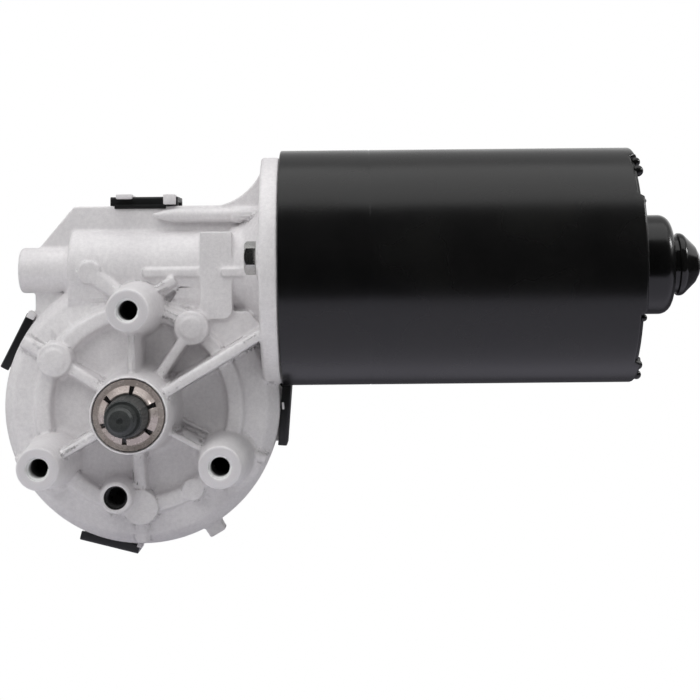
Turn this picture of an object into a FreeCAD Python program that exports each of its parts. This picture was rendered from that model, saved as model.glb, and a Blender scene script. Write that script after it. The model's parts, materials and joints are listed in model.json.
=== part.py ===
import FreeCAD, Part
import os
from math import cos, degrees, pi, radians, sin, sqrt, tan

# Wiper motor: a worm gearmotor with a die-cast gearbox, a round steel motor can and a rear cover.
# Millimetres. The origin is the centre of the three mounting bosses, in the plane of their faces, on the
# output shaft's axis. The shaft points to -Y, the motor can lies along +X, and +Z is up.

V = FreeCAD.Vector

# Mounting and output shaft
MOUNT_CIRCLE_R = 35.0
MOUNT_ANGLES = (90, 210, 330)
MOUNT_TOP_R = 7.2
MOUNT_BASE_R = 9.8
MOUNT_HOLE_R = 3.4
MOUNT_HOLE_DEPTH = 22.0
HOLE_CHAMFER = 0.5
BOSS_EDGE_ROUND = 0.6
BOSS_ROOT_ROUND = 2.0
SMALL_BOSS_X = -7.4
SMALL_BOSS_Z = -30.2
SMALL_BOSS_TOP_R = 5.5
SMALL_BOSS_BASE_R = 6.8
SMALL_BOSS_BACK = 21.5
SMALL_BOSS_ROOT_ROUND = 1.0
SMALL_HOLE_R = 3.4
SMALL_HOLE_DEPTH = 11.5
DRILL_POINT = 0.6
SHAFT_R = 7.0
SHAFT_THREAD_R = 5.0
SHAFT_TIP_R = 3.8
SHAFT_NECK_R = 4.4
SHAFT_TIP_OUT = 20.5
THREAD_LENGTH = 6.6
TIP_CHAMFER = 1.2
NECK_LENGTH = 1.0
CONE_LENGTH = 10.5
CONE_END_R = 6.2
SERRATIONS = 30
SERRATION_DEPTH = 0.45
SERRATION_ANGLE = 95.0
BUSH_WALL = 2.2
BUSH_LENGTH = 11.0
WASHER_R = 12.05
WASHER_THICK = 0.8
WASHER_LIFT = 2.6
WASHER_SLOTS = 6
WASHER_SLOT_WIDTH = 1.8
WASHER_SLOT_ANGLE = 21.0
WASHER_POCKET_DEPTH = 2.4
SHIM_THICK = 0.6
SHIM_OVERHANG = 2.0
SEAL_THICK = 2.0

# Worm and wheel
MODULE = 1.25
WHEEL_TEETH = 69
WORM_PITCH_R = 5.5
ADDENDUM = 1.05
DEDENDUM = 1.45
FLANK_ANGLE = 17.0
BACKLASH = 0.44
WHEEL_WIDTH = 10.0
WORM_LENGTH = 42.0
WORM_RUNOUT = 3.0
WORM_SUNK = 0.3
GEAR_BOSS_R = 12.0
GEAR_HUB_R = 19.0
GEAR_RIM = 3.0
GEAR_DISH = 3.2
GEAR_WEB = 1.6
GEAR_WEBS = 8
PARK_DISC_R = 30.0
PARK_DISC_THICK = 0.8
PARK_DISC_INSET = 2.0
PARK_GAP_DEPTH = 6.0
PARK_GAP_HALF = 5.0
SHAFT_OVERHANG = 3.0
MOTOR_Y = 44.0

# Gearbox casting
WHEEL_TIP_GAP = 1.4
RIM_WALL = 3.3
WHEEL_SIDE_GAP = 2.0
FLOOR_WALL = 3.0
CHAMBER_CORNER = 2.5
BACK_GAP = 5.5
RING_R = 33.8
RING_WIDTH = 6.0
RING_HEIGHT = 5.2
RING_DRAFT = 0.4
RING_ROUND = 1.3
SHOULDER_HEIGHT = 1.8
RIM_ROUND = 4.0
RIM_EDGE = 1.0
HUB_TOP_Y = 1.0
HUB_TOP_R = 13.1
HUB_BASE_R = 15.4
HUB_ROOT_ROUND = 3.0
TUNNEL_R = 14.0
TUNNEL_START_X = -25.0
TUNNEL_END_X = 33.0
TUNNEL_END_ROUND = 1.2
APRON_REACH = 11.0
APRON_SINK = 0.8
APRON_ROUND = 4.0
BELL_MOUTH_R = 23.0
BELL_WAIST_R = 16.5
BELL_WAIST_LENGTH = 4.0
BELL_ROUND = 3.0
NOSE_R = 8.1
NOSE_END_X = -43.4
NOSE_COLLAR_R = 8.6
NOSE_COLLAR_LENGTH = 1.6
NOSE_BUSH_INSET = 1.0
PAD_LENGTH = 11.2
PAD_RISE = 1.5
PAD_FOOT_Z = 30.9
PAD_ROUND = 3.0
PEG_START_X = 29.0
PEG_END_X = 38.0
PEG_RISE = 3.0
PEG_HALF = 1.5
PEG_DROP = 1.3
STRIP_HEAD = 0.9
BAR_START_X = 1.6
BAR_HALF = 1.5
BAR_DROP = 1.2
BAR_RISE = 0.9
PLATE_SIDE_X = -38.3
PLATE_BEVEL_Z = 54.8
PLATE_BEVEL_X = -24.2
PLATE_TOP_Z = 71.3
PLATE_STEP = 4.0
PLATE_CORNER_ROUND = 1.5
RAIL_R = 2.4
RAIL_HEAD_R = 2.9
RAIL_START_X = 4.4
RAIL_POINT_LENGTH = 7.0
RAIL_POINT_R = 0.8
RAIL_INSET = 3.5
FLANGE_R = 41.2
FLANGE_FACE_X = 49.9
FLANGE_THICK = 6.4
FLANGE_EDGE_ROUND = 1.2
FLANGE_FLAT_Z = 87.3
GASKET_WIDTH = 2.5
GASKET_HEIGHT = 1.2
CHANNEL_INSET = 6.0
CHANNEL_FOOT = 10.8
CHANNEL_WALL = 3.0
CHANNEL_ROUND = 1.0
PASSAGE_R = 2.4
PASSAGE_BACK = 6.0
PASSAGE_DROP = 7.0
SCREW_BOSS_R = 7.5
SCREW_BOSS_RISE = 0.8
SPIGOT_LENGTH = 2.4
SPIGOT_WALL = 3.0
WEB_THICK = 5.0
WEB_LENGTH = 15.6
WEB_HEIGHT = 14.4
WEB_CURVE_R = 21.8

# Webs from the hub to the mounting bosses: angle, width, and the depth of the top at the hub and at the end
MOUNT_WEBS = ((90, 2.7, 9.0, 9.0), (210, 2.7, 4.5, 8.0), (330, 1.8, 14.0, 17.0))
# Webs from the hub to the ring: angle at the hub, angle at the ring, width, both depths
RING_WEBS = ((149, 149, 4.0, 24.0, 28.5), (56, 56, 3.4, 19.0, 26.5), (268, 271, 4.2, 27.0, 29.0),
             (42, 34, 1.2, 28.0, 30.5), (346, 338, 1.0, 31.5, 32.5))
# Webs from the ring to the rim: angle, width, both depths
RIM_WEBS = ((150, 4.2, 28.5, 32.5), (270.4, 4.6, 30.8, 34.0), (203, 3.0, 30.0, 33.0), (337, 3.0, 30.0, 33.0))
FLANGE_WEB_ANGLE = 31.0
FLANGE_WEB_END_Z = 26.4
FLANGE_WEB_WIDTH = 3.4
FLANGE_WEB_TOPS = (5.5, 10.5)
WEB_DRAFT = 0.7
WEB_ROUND = 0.35
# Blind bosses on the ring: angle and depth of the face
BLIND_BOSSES = ((149, 25.5), (56, 25.0))
BLIND_BOSS_TOP_R = 6.0
BLIND_BOSS_BASE_R = 6.4
BLIND_BOSS_DISC_R = 3.8
BLIND_BOSS_DISC_RISE = 0.7
# Flat round pads: x, z, radius and depth of the face
FLOOR_PADS = ((0.4, -34.4, 6.2, 27.5), (18.7, -28.4, 3.9, 28.2))
TUNNEL_PAD_X = -17.2
TUNNEL_PAD_DROP = 1.0
TUNNEL_PAD_R = 4.0
TUNNEL_PAD_RISE = 0.8
PAD_LINK_WIDTH = 5.4
PAD_LINK_ANGLE = 96.0
PAD_LINK_CLIMB = 1.0
BOSS_LINK = ((5.5, 35.0), (19.0, 29.0), 3.2, 27.0)
CURVED_LINK = ((6.6, 41.0), (13.0, 45.0), 3.4, 27.8)
HOLLOW = ((8.9, 39.0), (14.6, 42.4), (10.6, 36.6))
HOLLOW_DEPTH = 5.0
HOLLOW_ROUND = 0.5
# The lobe beside the flange: corners x and z, from the ring round to the long web
LOBE = ((25.5, 30.6), (33.3, 33.7), (38.6, 33.7), (43.0, 28.5), (43.0, 25.0), (29.3, 18.4), (25.5, 21.6))
LOBE_Y = 30.5
LOBE_ROUND = 2.0

# Rear cover and its clips
COVER_EDGE_X = 34.0
GASKET_THICK = 0.5
COVER_THICK = 2.5
COVER_INSET = 1.0
DOME_R = 36.0
DOME_RISE = 4.0
DOME_WALL = 2.0
STOP_R = 4.5
COVER_RIB_ANGLES = (50, 125, 180, 205, 230, 285, 310, 335)
COVER_RIB_INSET = 3.0
COVER_RIB_RISE = 1.2
COVER_RIB_HALF = 0.8
CLIP_LENGTH = 21.5
# Cover clips on the round rim: angle, and on which end their lug stands out, if on any
CLIPS = {"left": (152.7, -1), "bottom": (255.6, 0), "right": (355.3, 0)}
CLIP_WALL = 1.8
CLIP_LEG = 5.0
CLIP_EDGE_ROUND = 0.3
CLIP_BEND_R = 1.0
LUG_RISE = 1.4
LUG_TAIL = 3.0
LUG_INSET = 1.5
LUG_ROOT = 2.5
LUG_START = 0.5
CLIP_GAP = 0.1
TOP_CLIP_X = -11.2
TOP_CLIP_LENGTH = 24.1
TOP_CLIP_WINDOWS = ((-9.2, -3.2), (7.4, 11.9))
WINDOW_GAP = 0.3
EAR_RISE = 4.1
LOCATOR_ANGLE = -59.8
LOCATOR_HALF = 3.2
LOCATOR_RISE = 4.0
LOCATOR_THICK = 6.0
LOCATOR_INSET = 2.0
CONTACT_RADII = (16.5, 21.0, 25.5)
CARRIER_THICK = 2.6
CARRIER_HALF = 5.0
CARRIER_INSET = 9.0
FINGER_PLACES = (-2.0, -12.0, -15.0)
FINGER_THICK = 0.5
FINGER_WIDTH = 2.4
SOCKET_HALF_WIDTH = 13.0
SOCKET_MOUTH_Z = -40.0
SOCKET_LENGTH = 30.0
SOCKET_DEPTH = 16.0
SOCKET_WALL = 2.0
SOCKET_FLOOR = 6.0
BLADES = 5
BLADE_LENGTH = 12.0
BLADE_WIDTH = 2.8
BLADE_THICK = 0.8
BLADE_FIT = 0.02
LATCH_PLACES = (3.0, 6.0, 7.0)
LATCH_RISE = 1.8
LATCH_HALF = 3.5

# Motor
CAN_R = 41.9
CAN_WALL = 2.4
CAN_LENGTH = 124.0
BELL_THICK = 2.5
BELL_SEAT = 1.0
CAN_LIP = 1.0
CAN_EDGE_ROUND = 0.8
NOTCHES = 4
NOTCH_SPAN = 31.0
NOTCH_TURN = 39.5
NOTCH_DEPTH = 2.0
STAKE_R = 0.9
STAKE_LENGTH = 1.0
# Where the can is staked beside each notch, and the bell inside it, as angles from the notch's middle
CAN_STAKES = (18.0, 34.6)
BELL_STAKE = -3.0
CUP_R = 17.75
CUP_LENGTH = 15.0
CUP_WALL = 2.0
CUP_ROUND = 4.0
CAP_R = 11.2
CAP_LENGTH = 10.8
CAP_TIP_R = 4.6
CAP_STEM_R = 6.0
CAP_NECK_R = 9.0
CAP_NECK = 1.3
CAP_RIM = 0.9
CAP_ROUND = 3.0
NOSE_BUSH_R = 6.0
NOSE_BUSH_LENGTH = 9.0
THRUST_SCREW_R = 4.0
THRUST_PAD = 0.8
THRUST_SLOT = 1.2
TAIL_BUSH_R = 8.0
TAIL_BUSH_LENGTH = 9.0
ARMATURE_SHAFT_R = 5.0
NOSE_JOURNAL_R = 3.5
TAIL_JOURNAL_R = 4.0
CORE_R = 30.2
CORE_START_X = 80.0
TAIL_ROOM = 18.7
CORE_SLOTS = 12
SLOT_FOOT_R = 14.0
SLOT_TOP_R = 27.6
TOOTH_WIDTH = 4.6
SLOT_MOUTH = 2.2
COIL_END = 11.0
COIL_FACE_R = 20.0
COIL_ROUND = 3.0
COIL_GAP = 2.0
AIR_GAP = 0.9
MAGNET_SPAN = 148.0
MAGNET_OVERHANG = 6.0
STRIP_THICK = 0.6
STRIP_LEG = 6.0
LEG_SPAN = 1.0
COMMUTATOR_R = 13.0
COMMUTATOR_START_X = 50.5
COMMUTATOR_LENGTH = 16.0
COMMUTATOR_BARS = 12
COMMUTATOR_SLIT = 0.7
COMMUTATOR_SLEEVE_R = 8.0
BEARING_OUTER_R = 13.0
BEARING_WIDTH = 8.0
BEARING_START_X = 38.0
BALL_R = 1.9
BALLS = 8
RING_DEPTH = 2.7
BRUSH_ANGLES = (0, 180, 60)
BRUSH_WIDTH = 6.0
BRUSH_HEIGHT = 8.0
BRUSH_LENGTH = 12.0
BRUSH_PLATE_R = 35.6
BRUSH_PLATE_THICK = 2.0
BRUSH_PLATE_BORE_R = 16.0
HOLDER_WALL = 0.8
HOLDER_END_R = 34.6
SPRING_WIRE = 0.5
SPRING_R = 2.2
SPRING_TURNS = 3
SCREW_R = 3.0
SCREW_HEAD_FLATS = 10.0
SCREW_HEAD_THICK = 4.1
SCREW_CHAMFER = 0.9
SCREW_CIRCLE_R = 33.2
SCREW_TILT = 6.0

# Clearances
RUNNING_FIT = 0.05
SLIDE_GAP = 0.2
LOOSE_GAP = 0.3

# How far forms run into each other, how far cuts run past a face, and the smallest edge rounding
LAP = 0.5
OVERRUN = 1.0
EDGE_ROUND = 0.4

# Sizes that follow
WHEEL_PITCH_R = MODULE * WHEEL_TEETH / 2
MOTOR_Z = WHEEL_PITCH_R + WORM_PITCH_R
WHEEL_TIP_R = WHEEL_PITCH_R + ADDENDUM
CHAMBER_R = WHEEL_TIP_R + WHEEL_TIP_GAP
RIM_R = CHAMBER_R + RIM_WALL
CHAMBER_Y = MOTOR_Y - WHEEL_WIDTH / 2 - WHEEL_SIDE_GAP
FLOOR_Y = CHAMBER_Y - FLOOR_WALL
BACK_Y = MOTOR_Y + WHEEL_WIDTH / 2 + BACK_GAP
PLATE_Y = FLOOR_Y + RIM_ROUND
UPPER_Y = PLATE_Y + PLATE_STEP
SHOULDER_Y = FLOOR_Y - SHOULDER_HEIGHT
TUNNEL_FRONT_Y = MOTOR_Y - TUNNEL_R
PAD_X = TUNNEL_END_X - PAD_LENGTH
COVER_Y = BACK_Y + GASKET_THICK
COVER_BACK_Y = COVER_Y + COVER_THICK
FLANGE_BACK_X = FLANGE_FACE_X - FLANGE_THICK
CAN_BORE_R = CAN_R - CAN_WALL
CAN_END_X = FLANGE_FACE_X + CAN_LENGTH
BELL_BACK_X = CAN_END_X - CAN_WALL / 2
BELL_X = BELL_BACK_X - BELL_THICK
CUP_END_X = BELL_BACK_X + CUP_LENGTH
CORE_END_X = BELL_X - TAIL_ROOM
BEARING_END_X = BEARING_START_X + BEARING_WIDTH
BALL_CIRCLE_R = (ARMATURE_SHAFT_R + BEARING_OUTER_R) / 2
BUSH_OUTER_R = SHAFT_R + BUSH_WALL
WASHER_POCKET_R = WASHER_R + LOOSE_GAP
POCKET_FLOOR_Y = HUB_TOP_Y + WASHER_POCKET_DEPTH
WHEEL_FRONT_Y = MOTOR_Y - WHEEL_WIDTH / 2
WHEEL_BACK_Y = MOTOR_Y + WHEEL_WIDTH / 2
SHAFT_BACK_Y = WHEEL_BACK_Y + SHAFT_OVERHANG
WORM_ROOT_R = WORM_PITCH_R - DEDENDUM
WORM_BORE_R = WORM_PITCH_R + ADDENDUM + WHEEL_TIP_GAP
NOSE_BUSH_END_X = TUNNEL_START_X + NOSE_BUSH_INSET
NOSE_BUSH_X = NOSE_BUSH_END_X - NOSE_BUSH_LENGTH
SHAFT_NOSE_X = NOSE_BUSH_X + THRUST_PAD + SLIDE_GAP
SHAFT_TAIL_X = CUP_END_X - CUP_WALL - 0.5
TAIL_STEP_X = BELL_X - 2.0
TAIL_BUSH_END_X = SHAFT_TAIL_X - 1.0
BRUSH_PLATE_X = BEARING_END_X + 0.6
HOLDER_START_R = COMMUTATOR_R + 2.0
BRUSH_X = BRUSH_PLATE_X + BRUSH_PLATE_THICK + HOLDER_WALL + SLIDE_GAP
BRUSH_FACE_R = COMMUTATOR_R + SLIDE_GAP
BRUSH_BACK_R = BRUSH_FACE_R + BRUSH_LENGTH
DOME_INSIDE_Y = COVER_Y + DOME_RISE
DOME_BACK_Y = COVER_BACK_Y + DOME_RISE
SOCKET_END_Z = SOCKET_MOUTH_Z + SOCKET_LENGTH
CHANNEL_END_X = COVER_EDGE_X - COVER_INSET * 2
CHANNEL_LOW_Z = PLATE_TOP_Z - CHANNEL_FOOT
CHANNEL_HIGH_Z = PLATE_TOP_Z - CHANNEL_WALL


# Shapes that the pieces are made of

def rounded_wire(corners, place):
    """A closed wire through corners (u, v, radius), each corner rounded to its own radius."""
    points = [V(u, v, 0) for u, v, radius in corners]
    turns = []
    for i, (u, v, radius) in enumerate(corners):
        corner = points[i]
        if radius == 0:
            turns.append((corner, None, corner))
            continue
        back = (points[i - 1] - corner).normalize()
        ahead = (points[(i + 1) % len(points)] - corner).normalize()
        half = back.getAngle(ahead) / 2
        reach = radius / tan(half)
        middle = corner + (back + ahead).normalize() * (radius / sin(half) - radius)
        turns.append((corner + back * reach, middle, corner + ahead * reach))
    edges = []
    for i, (start, middle, stop) in enumerate(turns):
        if middle is not None:
            edges.append(Part.Arc(place(start), place(middle), place(stop)).toShape())
        following = turns[(i + 1) % len(turns)][0]
        if (following - stop).Length > 1e-6:
            edges.append(Part.makeLine(place(stop), place(following)))
    return Part.Wire(edges)


def about_shaft(corners, x=0.0, z=0.0):
    """A solid turned about a line along Y through (x, z), from corners (radius, y, rounding)."""
    face = Part.Face(rounded_wire(corners, lambda p: V(x + p.x, p.y, z)))
    return face.revolve(V(x, 0, z), V(0, 1, 0), 360)


def about_motor(corners, span=360.0, start=0.0):
    """A solid turned about the motor's axis, from corners (x, radius, rounding)."""
    face = Part.Face(rounded_wire(corners, lambda p: V(p.x, MOTOR_Y, MOTOR_Z + p.y)))
    solid = face.revolve(V(0, MOTOR_Y, MOTOR_Z), V(1, 0, 0), span)
    solid.rotate(V(0, MOTOR_Y, MOTOR_Z), V(1, 0, 0), start)
    return solid


def slab(corners, front, back):
    """A flat plate between two depths, from corners (x, z, rounding)."""
    face = Part.Face(rounded_wire(corners, lambda p: V(p.x, front, p.y)))
    return face.extrude(V(0, back - front, 0))


def beam(corners, start, end):
    """A solid of one section along X, from corners (y, z, rounding)."""
    face = Part.Face(rounded_wire(corners, lambda p: V(start, p.x, p.y)))
    return face.extrude(V(end - start, 0, 0))


def block(x0, x1, y0, y1, z0, z1):
    return Part.makeBox(x1 - x0, y1 - y0, z1 - z0, V(x0, y0, z0))


def rod_y(radius, y0, y1, x=0.0, z=0.0):
    return Part.makeCylinder(radius, y1 - y0, V(x, y0, z), V(0, 1, 0))


def rod_x(radius, x0, x1, y=MOTOR_Y, z=MOTOR_Z):
    return Part.makeCylinder(radius, x1 - x0, V(x0, y, z), V(1, 0, 0))


def polar(radius, angle):
    return radius * cos(radians(angle)), radius * sin(radians(angle))


def turned(shape, angle):
    """A copy turned about the motor's axis."""
    copy = shape.copy()
    copy.rotate(V(0, MOTOR_Y, MOTOR_Z), V(1, 0, 0), angle)
    return copy


def swung(shape, angle):
    """A copy turned about the output shaft, from the +X side towards +Z."""
    copy = shape.copy()
    copy.rotate(V(0, 0, 0), V(0, -1, 0), angle)
    return copy


def rib(start, end, width, top_start, top_end, base=None):
    """A cast web between two (x, z) points, with a rounded top at the given depths and drafted sides."""
    base = FLOOR_Y + FLOOR_WALL / 2 if base is None else base
    along = V(end[0] - start[0], 0, end[1] - start[1]).normalize()
    across = V(along.z, 0, -along.x)
    foot = width / 2 + WEB_DRAFT
    rounding = width * WEB_ROUND
    sections = []
    for (x, z), top in ((start, top_start), (end, top_end)):
        corners = [(-foot, base, 0), (-width / 2, top, rounding), (width / 2, top, rounding), (foot, base, 0)]
        origin = V(x, 0, z)
        sections.append(rounded_wire(corners, lambda p: origin + across * p.x + V(0, p.y, 0)))
    return Part.makeLoft(sections, True, True)


def boss(x, z, top_y, top_r, base_r, root_round=BOSS_ROOT_ROUND):
    """A drafted round boss with a flared root on the gearbox floor."""
    flare = base_r + root_round
    low = FLOOR_Y + OVERRUN
    corners = [(0, top_y, 0), (top_r, top_y, BOSS_EDGE_ROUND), (base_r, FLOOR_Y - OVERRUN, root_round),
               (flare + OVERRUN, low, 0), (0, low, 0)]
    return about_shaft(corners, x, z)


def hole_y(radius, depth, top_y, x=0.0, z=0.0):
    """A blind drilled hole with a chamfered mouth and a drill point."""
    mouth = radius + HOLE_CHAMFER
    corners = [(0, top_y, 0), (mouth, top_y, 0), (radius, top_y + HOLE_CHAMFER, 0),
               (radius, top_y + depth, 0), (0, top_y + depth + radius * DRILL_POINT, 0)]
    return about_shaft(corners, x, z)


# Gearbox casting

def gearbox_disc():
    """The round gearbox with its raised ring and its rounded rim."""
    inner = RING_R - RING_WIDTH / 2
    outer = RING_R + RING_WIDTH / 2
    ring_y = FLOOR_Y - RING_HEIGHT
    corners = [(0, FLOOR_Y, 0), (inner - RING_DRAFT, FLOOR_Y, RING_ROUND),
               (inner + RING_DRAFT, ring_y, RING_ROUND),
               (outer - RING_DRAFT, ring_y, RING_ROUND), (outer + RING_DRAFT, SHOULDER_Y, RING_ROUND / 2),
               (RIM_R - RIM_ROUND, FLOOR_Y, RIM_ROUND / 2), (RIM_R, PLATE_Y + RIM_EDGE, RIM_ROUND / 2),
               (RIM_R, BACK_Y, 0), (0, BACK_Y, 0)]
    return about_shaft(corners)


def gearbox_hub():
    """The drafted hub round the output shaft."""
    foot = HUB_BASE_R + HUB_ROOT_ROUND + OVERRUN
    low = FLOOR_Y + OVERRUN
    corners = [(0, HUB_TOP_Y, 0), (HUB_TOP_R, HUB_TOP_Y, EDGE_ROUND), (HUB_BASE_R, FLOOR_Y, HUB_ROOT_ROUND),
               (foot, FLOOR_Y + LAP / 2, 0), (foot, low, 0), (0, low, 0)]
    return about_shaft(corners)


def plate_corners(inset, right_x):
    """The straight-sided part of the gearbox outline, above the round part."""
    low = RIM_R / 2
    slant = inset * (sqrt(2) - 1)
    return [(PLATE_SIDE_X + inset, low, 0), (PLATE_SIDE_X + inset, PLATE_BEVEL_Z - slant, PLATE_CORNER_ROUND),
            (PLATE_BEVEL_X + slant, PLATE_TOP_Z - inset, PLATE_CORNER_ROUND),
            (right_x, PLATE_TOP_Z - inset, 0), (right_x, low, 0)]


def tunnel_forms():
    """The worm tunnel with its nose, its apron, its pad, peg and bar, and the bell towards the motor."""
    flange_x = FLANGE_BACK_X + LAP
    start_x = TUNNEL_START_X + OVERRUN
    end_x = TUNNEL_END_X - OVERRUN
    ring_inside = RING_R - RING_WIDTH / 2
    middle = about_motor([(TUNNEL_START_X, 0, 0), (TUNNEL_START_X, TUNNEL_R, TUNNEL_END_ROUND),
                          (TUNNEL_END_X, TUNNEL_R, 0), (TUNNEL_END_X, 0, 0)])
    collar_x = TUNNEL_START_X - NOSE_COLLAR_LENGTH
    nose = about_motor([(NOSE_END_X, 0, 0), (NOSE_END_X, NOSE_R, TUNNEL_END_ROUND), (collar_x, NOSE_R, 0),
                        (collar_x, NOSE_COLLAR_R, EDGE_ROUND), (start_x, NOSE_COLLAR_R, 0), (start_x, 0, 0)])
    bell = about_motor([(end_x, 0, 0), (end_x, TUNNEL_R + OVERRUN, 0),
                        (TUNNEL_END_X + BELL_WAIST_LENGTH, BELL_WAIST_R, BELL_ROUND),
                        (flange_x, BELL_MOUTH_R, 0), (flange_x, 0, 0)])
    apron = beam([(TUNNEL_FRONT_Y + APRON_SINK, MOTOR_Z, 0),
                  (SHOULDER_Y - RING_DRAFT / 2, MOTOR_Z - APRON_REACH, APRON_ROUND),
                  (PLATE_Y, ring_inside, 0), (MOTOR_Y, ring_inside, 0), (MOTOR_Y, MOTOR_Z, 0)],
                 TUNNEL_START_X, PAD_X)
    behind = block(TUNNEL_START_X - OVERRUN, COVER_EDGE_X + LAP, BACK_Y, BACK_Y + TUNNEL_R,
                   MOTOR_Z - 2 * TUNNEL_R, MOTOR_Z + 2 * TUNNEL_R)
    peg = tunnel_strip(PEG_START_X, PEG_END_X, MOTOR_Z - PEG_DROP, PEG_HALF, PEG_RISE)
    bar = tunnel_strip(BAR_START_X, PAD_X + OVERRUN, MOTOR_Z - BAR_DROP, BAR_HALF, BAR_RISE)
    return [middle.cut(behind), nose, bell.cut(behind), apron, tunnel_pad(), peg, bar]


def tunnel_pad():
    """The flat raised end of the tunnel beside the bell."""
    high = MOTOR_Z + TUNNEL_R - OVERRUN
    return slab([(PAD_X, PAD_FOOT_Z, 0), (TUNNEL_END_X, PAD_FOOT_Z, PAD_ROUND),
                 (TUNNEL_END_X, high, PAD_ROUND / 3),
                 (PAD_X, high, 0)], TUNNEL_FRONT_Y - PAD_RISE, MOTOR_Y)


def tunnel_strip(start, end, z, half, rise):
    """A narrow raised strip along the tunnel's front with a round head."""
    head = half * STRIP_HEAD
    return slab([(start, z - half, head), (end, z - half, 0), (end, z + half, 0), (start, z + half, head)],
                TUNNEL_FRONT_Y - rise, TUNNEL_FRONT_Y + TUNNEL_R / 2)


def top_rail():
    """The rounded rail along the top front edge, pointed at one end and thicker beside the flange."""
    y = UPPER_Y - RAIL_R
    z = PLATE_TOP_Z - RAIL_INSET
    flange_x = FLANGE_BACK_X + LAP
    rail_x = RAIL_START_X + RAIL_POINT_LENGTH
    back = UPPER_Y + OVERRUN
    point = Part.makeCone(RAIL_POINT_R, RAIL_R, RAIL_POINT_LENGTH, V(RAIL_START_X, y, z), V(1, 0, 0))
    rail = rod_x(RAIL_R, rail_x, TUNNEL_END_X, y, z)
    head = rod_x(RAIL_HEAD_R, TUNNEL_END_X, flange_x, y, z)
    backing = block(rail_x - RAIL_POINT_LENGTH / 2, flange_x, y, back, z - RAIL_R / 2,
                    z + RAIL_R - EDGE_ROUND)
    return [point, rail, head, backing]


def flange_web():
    """The web from the top edge to the flange, hollowed by one large arc."""
    x = FLANGE_BACK_X + LAP / 2
    low = V(x - WEB_LENGTH, 0, PLATE_TOP_Z)
    high = V(x, 0, PLATE_TOP_Z + WEB_HEIGHT)
    chord = high - low
    rise = sqrt(WEB_CURVE_R ** 2 - (chord.Length / 2) ** 2)
    centre = (low + high) * 0.5 + V(-chord.z, 0, chord.x).normalize() * rise
    front = MOTOR_Y - WEB_THICK / 2
    back = front + WEB_THICK
    foot_z = PLATE_TOP_Z - CHANNEL_WALL
    web = slab([(low.x, foot_z, 0), (x, foot_z, 0), (x, high.z, 0), (low.x, high.z, 0)], front, back)
    return web.cut(rod_y(WEB_CURVE_R, front - OVERRUN, back + OVERRUN, centre.x, centre.z))


def flange_forms():
    """The round motor flange with its flat top, the screw bosses, the spigot and the web."""
    plate = about_motor([(FLANGE_BACK_X, 0, 0), (FLANGE_BACK_X, FLANGE_R, FLANGE_EDGE_ROUND),
                         (FLANGE_FACE_X, FLANGE_R, 0), (FLANGE_FACE_X, 0, 0)])
    above = block(FLANGE_BACK_X - OVERRUN, FLANGE_FACE_X + OVERRUN, MOTOR_Y - CAN_R, MOTOR_Y + CAN_R,
                  FLANGE_FLAT_Z, FLANGE_FLAT_Z + CAN_R)
    outer = CAN_BORE_R - SLIDE_GAP
    inner = outer - SPIGOT_WALL
    start = FLANGE_FACE_X - LAP
    end = FLANGE_FACE_X + SPIGOT_LENGTH
    spigot = about_motor([(start, inner, 0), (start, outer, 0), (end, outer, EDGE_ROUND), (end, inner, 0)])
    screw_boss = rod_x(SCREW_BOSS_R, FLANGE_BACK_X - SCREW_BOSS_RISE, FLANGE_FACE_X)
    return [plate.cut(above), spigot, flange_web()] + at_screws(screw_boss)


def at_screws(shape):
    """Copies of a shape on the motor's axis, at the front and the back flange screw."""
    moved = shape.copy()
    moved.translate(V(0, -SCREW_CIRCLE_R, 0))
    return [turned(moved, -SCREW_TILT), turned(moved, 180 - SCREW_TILT)]


def casting_ribs():
    """The webs between the hub, the bosses, the ring, the rim and the flange."""
    hub = HUB_TOP_R - OVERRUN
    reach = MOUNT_CIRCLE_R - MOUNT_TOP_R + LAP
    rim = RIM_R - OVERRUN
    rim_base = PLATE_Y + FLOOR_WALL / 2
    pad_y = TUNNEL_FRONT_Y - TUNNEL_PAD_RISE
    pad = (TUNNEL_PAD_X, MOTOR_Z - TUNNEL_PAD_DROP)
    ribs = [rib(polar(hub, a), polar(reach, a), *sizes) for a, *sizes in MOUNT_WEBS]
    ribs += [rib(polar(hub, a), polar(RING_R, b), *sizes) for a, b, *sizes in RING_WEBS]
    ribs += [rib(polar(RING_R, a), polar(rim, a), *sizes, base=rim_base) for a, *sizes in RIM_WEBS]
    ribs.append(rib(polar(hub, FLANGE_WEB_ANGLE), (FLANGE_BACK_X + LAP, FLANGE_WEB_END_Z), FLANGE_WEB_WIDTH,
                    *FLANGE_WEB_TOPS))
    ribs.append(rib(pad, polar(MOUNT_CIRCLE_R + MOUNT_TOP_R / 2, PAD_LINK_ANGLE), PAD_LINK_WIDTH,
                    pad_y, pad_y - PAD_LINK_CLIMB))
    ribs += [rib(start, end, width, top, top) for start, end, width, top in (BOSS_LINK, CURVED_LINK)]
    return ribs


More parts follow.
